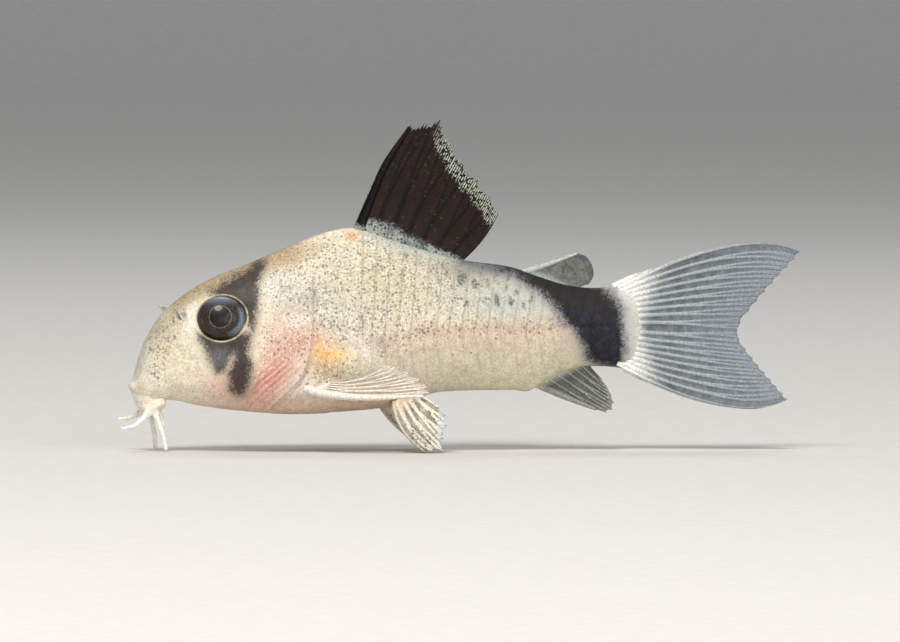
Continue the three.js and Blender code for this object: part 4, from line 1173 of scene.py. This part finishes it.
def make_pelvic(name, side, material):
    """A fin under the belly, on whose tip the fish rests. The right one is swept back and tucked in."""
    sweep, tuck = (0, 0) if side == LEFT else (1.9, 1.3)

    def at(x, y, z, share):
        return np.array([x + sweep * share, side * (y - tuck * share), z])

    def bend(root, tip, share):
        back, out, up = lerp(-0.75, 0.1, share), lerp(0.3, 0.1, share), lerp(-0.5, 0.35, share)
        return halfway(root, tip, back, side * out, up)

    left_tips = [(20.8, 5.0, 0.22), (21.5, 5.1, 0.1), (22.4, 4.8, 0.1), (22.45, 4.2, 1.05)]
    left_tips += [(22.9, 3.6, 1.95), (22.85, 3.0, 2.7)]
    tips = [at(x, y, z, 1 - k / 8) for k, (x, y, z) in enumerate(left_tips)]
    rays = rays_between(
        lambda share: at(lerp(18.95, 20.9, share), lerp(2.5, 1.9, share), lerp(3.4, 4.2, share), 0),
        tips, bend,
    )
    fin(
        f"{name}_rays", rays, material, (name,), root_band=(0.05, 0.3), root_half=0.4, ray_half=0.13,
        ray_wide=1.5, web=0.06, fringe=0.04, seed=12 + side,
    )


# The fish

skin = fish_skin()
lips = lip_skin()
eyes = fish_eye()
# Colours of membrane, ray, root and edge.
# The black fin's pale lace edge is partly painted highlights on its clear margin.
dorsal_skin = fin_skin(
    "black_fin_skin", "#2A1813", "#0D0A09", "#9FA6A2", "#B9C2B2",
    opaque=0.985, edge_opaque=0.9, edge_width=1.5, freckles=0.15, lace=62, gloss=0.0, root_freckles=0.6,
    ior=1.22,
)
clear_skin = fin_skin(
    "clear_fin_skin", "#7B858D", "#A9B1B6", "#F3F4EE", "#98A1A9",
    opaque=0.72, edge_width=0.5, outer="#87909A",
)
anal_skin = fin_skin(
    "smoky_fin_skin", "#63665D", "#979B92", "#C9C7B3", "#A3AAAB",
    opaque=0.74, edge_width=0.5, freckles=0.2,
)
pelvic_skin = fin_skin(
    "freckled_fin_skin", "#DAD5C4", "#F6F0DE", "#EBDCC4", "#CFDEE4",
    opaque=0.62, edge_width=0.8, freckles=0.9,
)
pectoral_skin = fin_skin(
    "glassy_fin_skin", "#E6DFD6", "#F1E9DC", "#F3EBE0", "#EEEAE4",
    opaque=0.12, edge_width=0.3,
)
adipose_skin = fin_skin(
    "adipose_fin_skin", "#7B8079", "#BFC9C3", "#B4BEB8", "#4F5762",
    opaque=0.85, edge_width=0.8, freckles=0.6,
)

make_skin(skin)
make_mouth(lips)
for side, word in ((LEFT, "left"), (RIGHT, "right")):
    make_eye(f"eyeball_{word}", side, eyes)
    make_nose_flap(f"nose_flap_{word}", side, skin)
    make_pectoral(f"pectoral_fin_{word}", side, pectoral_skin)
    make_pelvic(f"pelvic_fin_{word}", side, pelvic_skin)
make_dorsal(dorsal_skin)
make_adipose(adipose_skin)
make_caudal(clear_skin)
make_anal(anal_skin)


# The studio

def floor_material():
    """Matt white backdrop card: no gloss, and a faint mottle, coarser than its fibres, so that it shows."""
    made, add, shader, place = new_material("matt_backdrop_card")
    tone = add("mix", add("step", add("noise", place, sized(1.5), 3.0), 0.3, 0.7), "#CBCAC7", "#D0CFCC")
    set_shader(shader, Base_Color=tone, Roughness=0.9)
    return made


def make_backdrop():
    """A floor that curves up all round, far from the fish."""
    flat, far, tall = 1250, 3200, 2000
    radii = np.concatenate([[0, 300, 700], np.linspace(flat, far, 48)])
    heights = (np.clip(radii - flat, 0, None) / (far - flat)) ** 1.7 * tall
    sides = 72
    turn = np.linspace(0, 2 * np.pi, sides, endpoint=False)
    points = [(0, 0, 0)]
    for r, h in zip(radii[1:], heights[1:]):
        points += [(float(r * math.cos(t)), float(r * math.sin(t)), float(h)) for t in turn]
    faces = [(0, 1 + i, 1 + (i + 1) % sides) for i in range(sides)]
    for k in range(len(radii) - 2):
        for i in range(sides):
            a, b = 1 + k * sides + i, 1 + k * sides + (i + 1) % sides
            faces.append((a, a + sides, b + sides, b))
    mesh = bpy.data.meshes.new("backdrop")
    mesh.from_pydata([tuple(c * MM for c in p) for p in points], [], faces)
    mesh.shade_smooth()
    mesh.materials.append(floor_material())
    placed("backdrop", mesh)


def add_light(name, place, size, power, tint):
    """A soft round light at a place and of a width in millimetres, facing the fish."""
    lamp = bpy.data.lights.new(name, "AREA")
    lamp.shape, lamp.size, lamp.energy, lamp.color = "DISK", size * MM, power, colour(tint)
    made = placed(name, lamp)
    made.location = Vector(place) * MM
    made.rotation_euler = (Vector((0, 0, 9)) * MM - made.location).to_track_quat("-Z", "Y").to_euler()


make_backdrop()
add_light("key", (-190, -300, 520), 260, 3.35, "#FFF9F0")
add_light("fill", (300, -780, 170), 800, 3.7, "#F0F4FF")
add_light("low", (-120, -600, 30), 400, 0.5, "#FFF6EC")
add_light("back", (60, 330, 420), 240, 0.5, "#FFFFFF")
world = bpy.data.worlds.new("soft_studio")
world.use_nodes = True
put(world.node_tree.nodes["Background"], "Color", "#E9ECEF")
put(world.node_tree.nodes["Background"], "Strength", 0.5)
bpy.context.scene.world = world

# The camera, at the photo's bearing: a long lens, so that near and far parts keep their sizes.
FRAME_WIDTH = 65.8  # millimetres across the picture at the fish
DISTANCE = 1200.0
ROLL = 0.42  # degrees
AIM = np.array([23.8, 0.0, 9.47])
SENSOR = 36.0
bearing, rise = math.radians(AZIMUTH), math.radians(ELEVATION)
towards_camera = np.array(
    [math.sin(bearing) * math.cos(rise), -math.cos(bearing) * math.cos(rise), math.sin(rise)]
)
camera = placed("camera", bpy.data.cameras.new("camera"))
camera.data.sensor_width = SENSOR
camera.data.lens = SENSOR * DISTANCE / FRAME_WIDTH
camera.data.clip_start, camera.data.clip_end = 0.02, 8
camera.location = Vector(at_home(AIM + towards_camera * DISTANCE))
facing = Vector(-towards_camera).to_track_quat("-Z", "Y").to_matrix()
roll = Matrix.Rotation(math.radians(ROLL), 3, "Z")
camera.rotation_euler = (facing @ roll).to_euler()
bpy.context.scene.camera = camera
bpy.context.scene.view_settings.view_transform = "Standard"
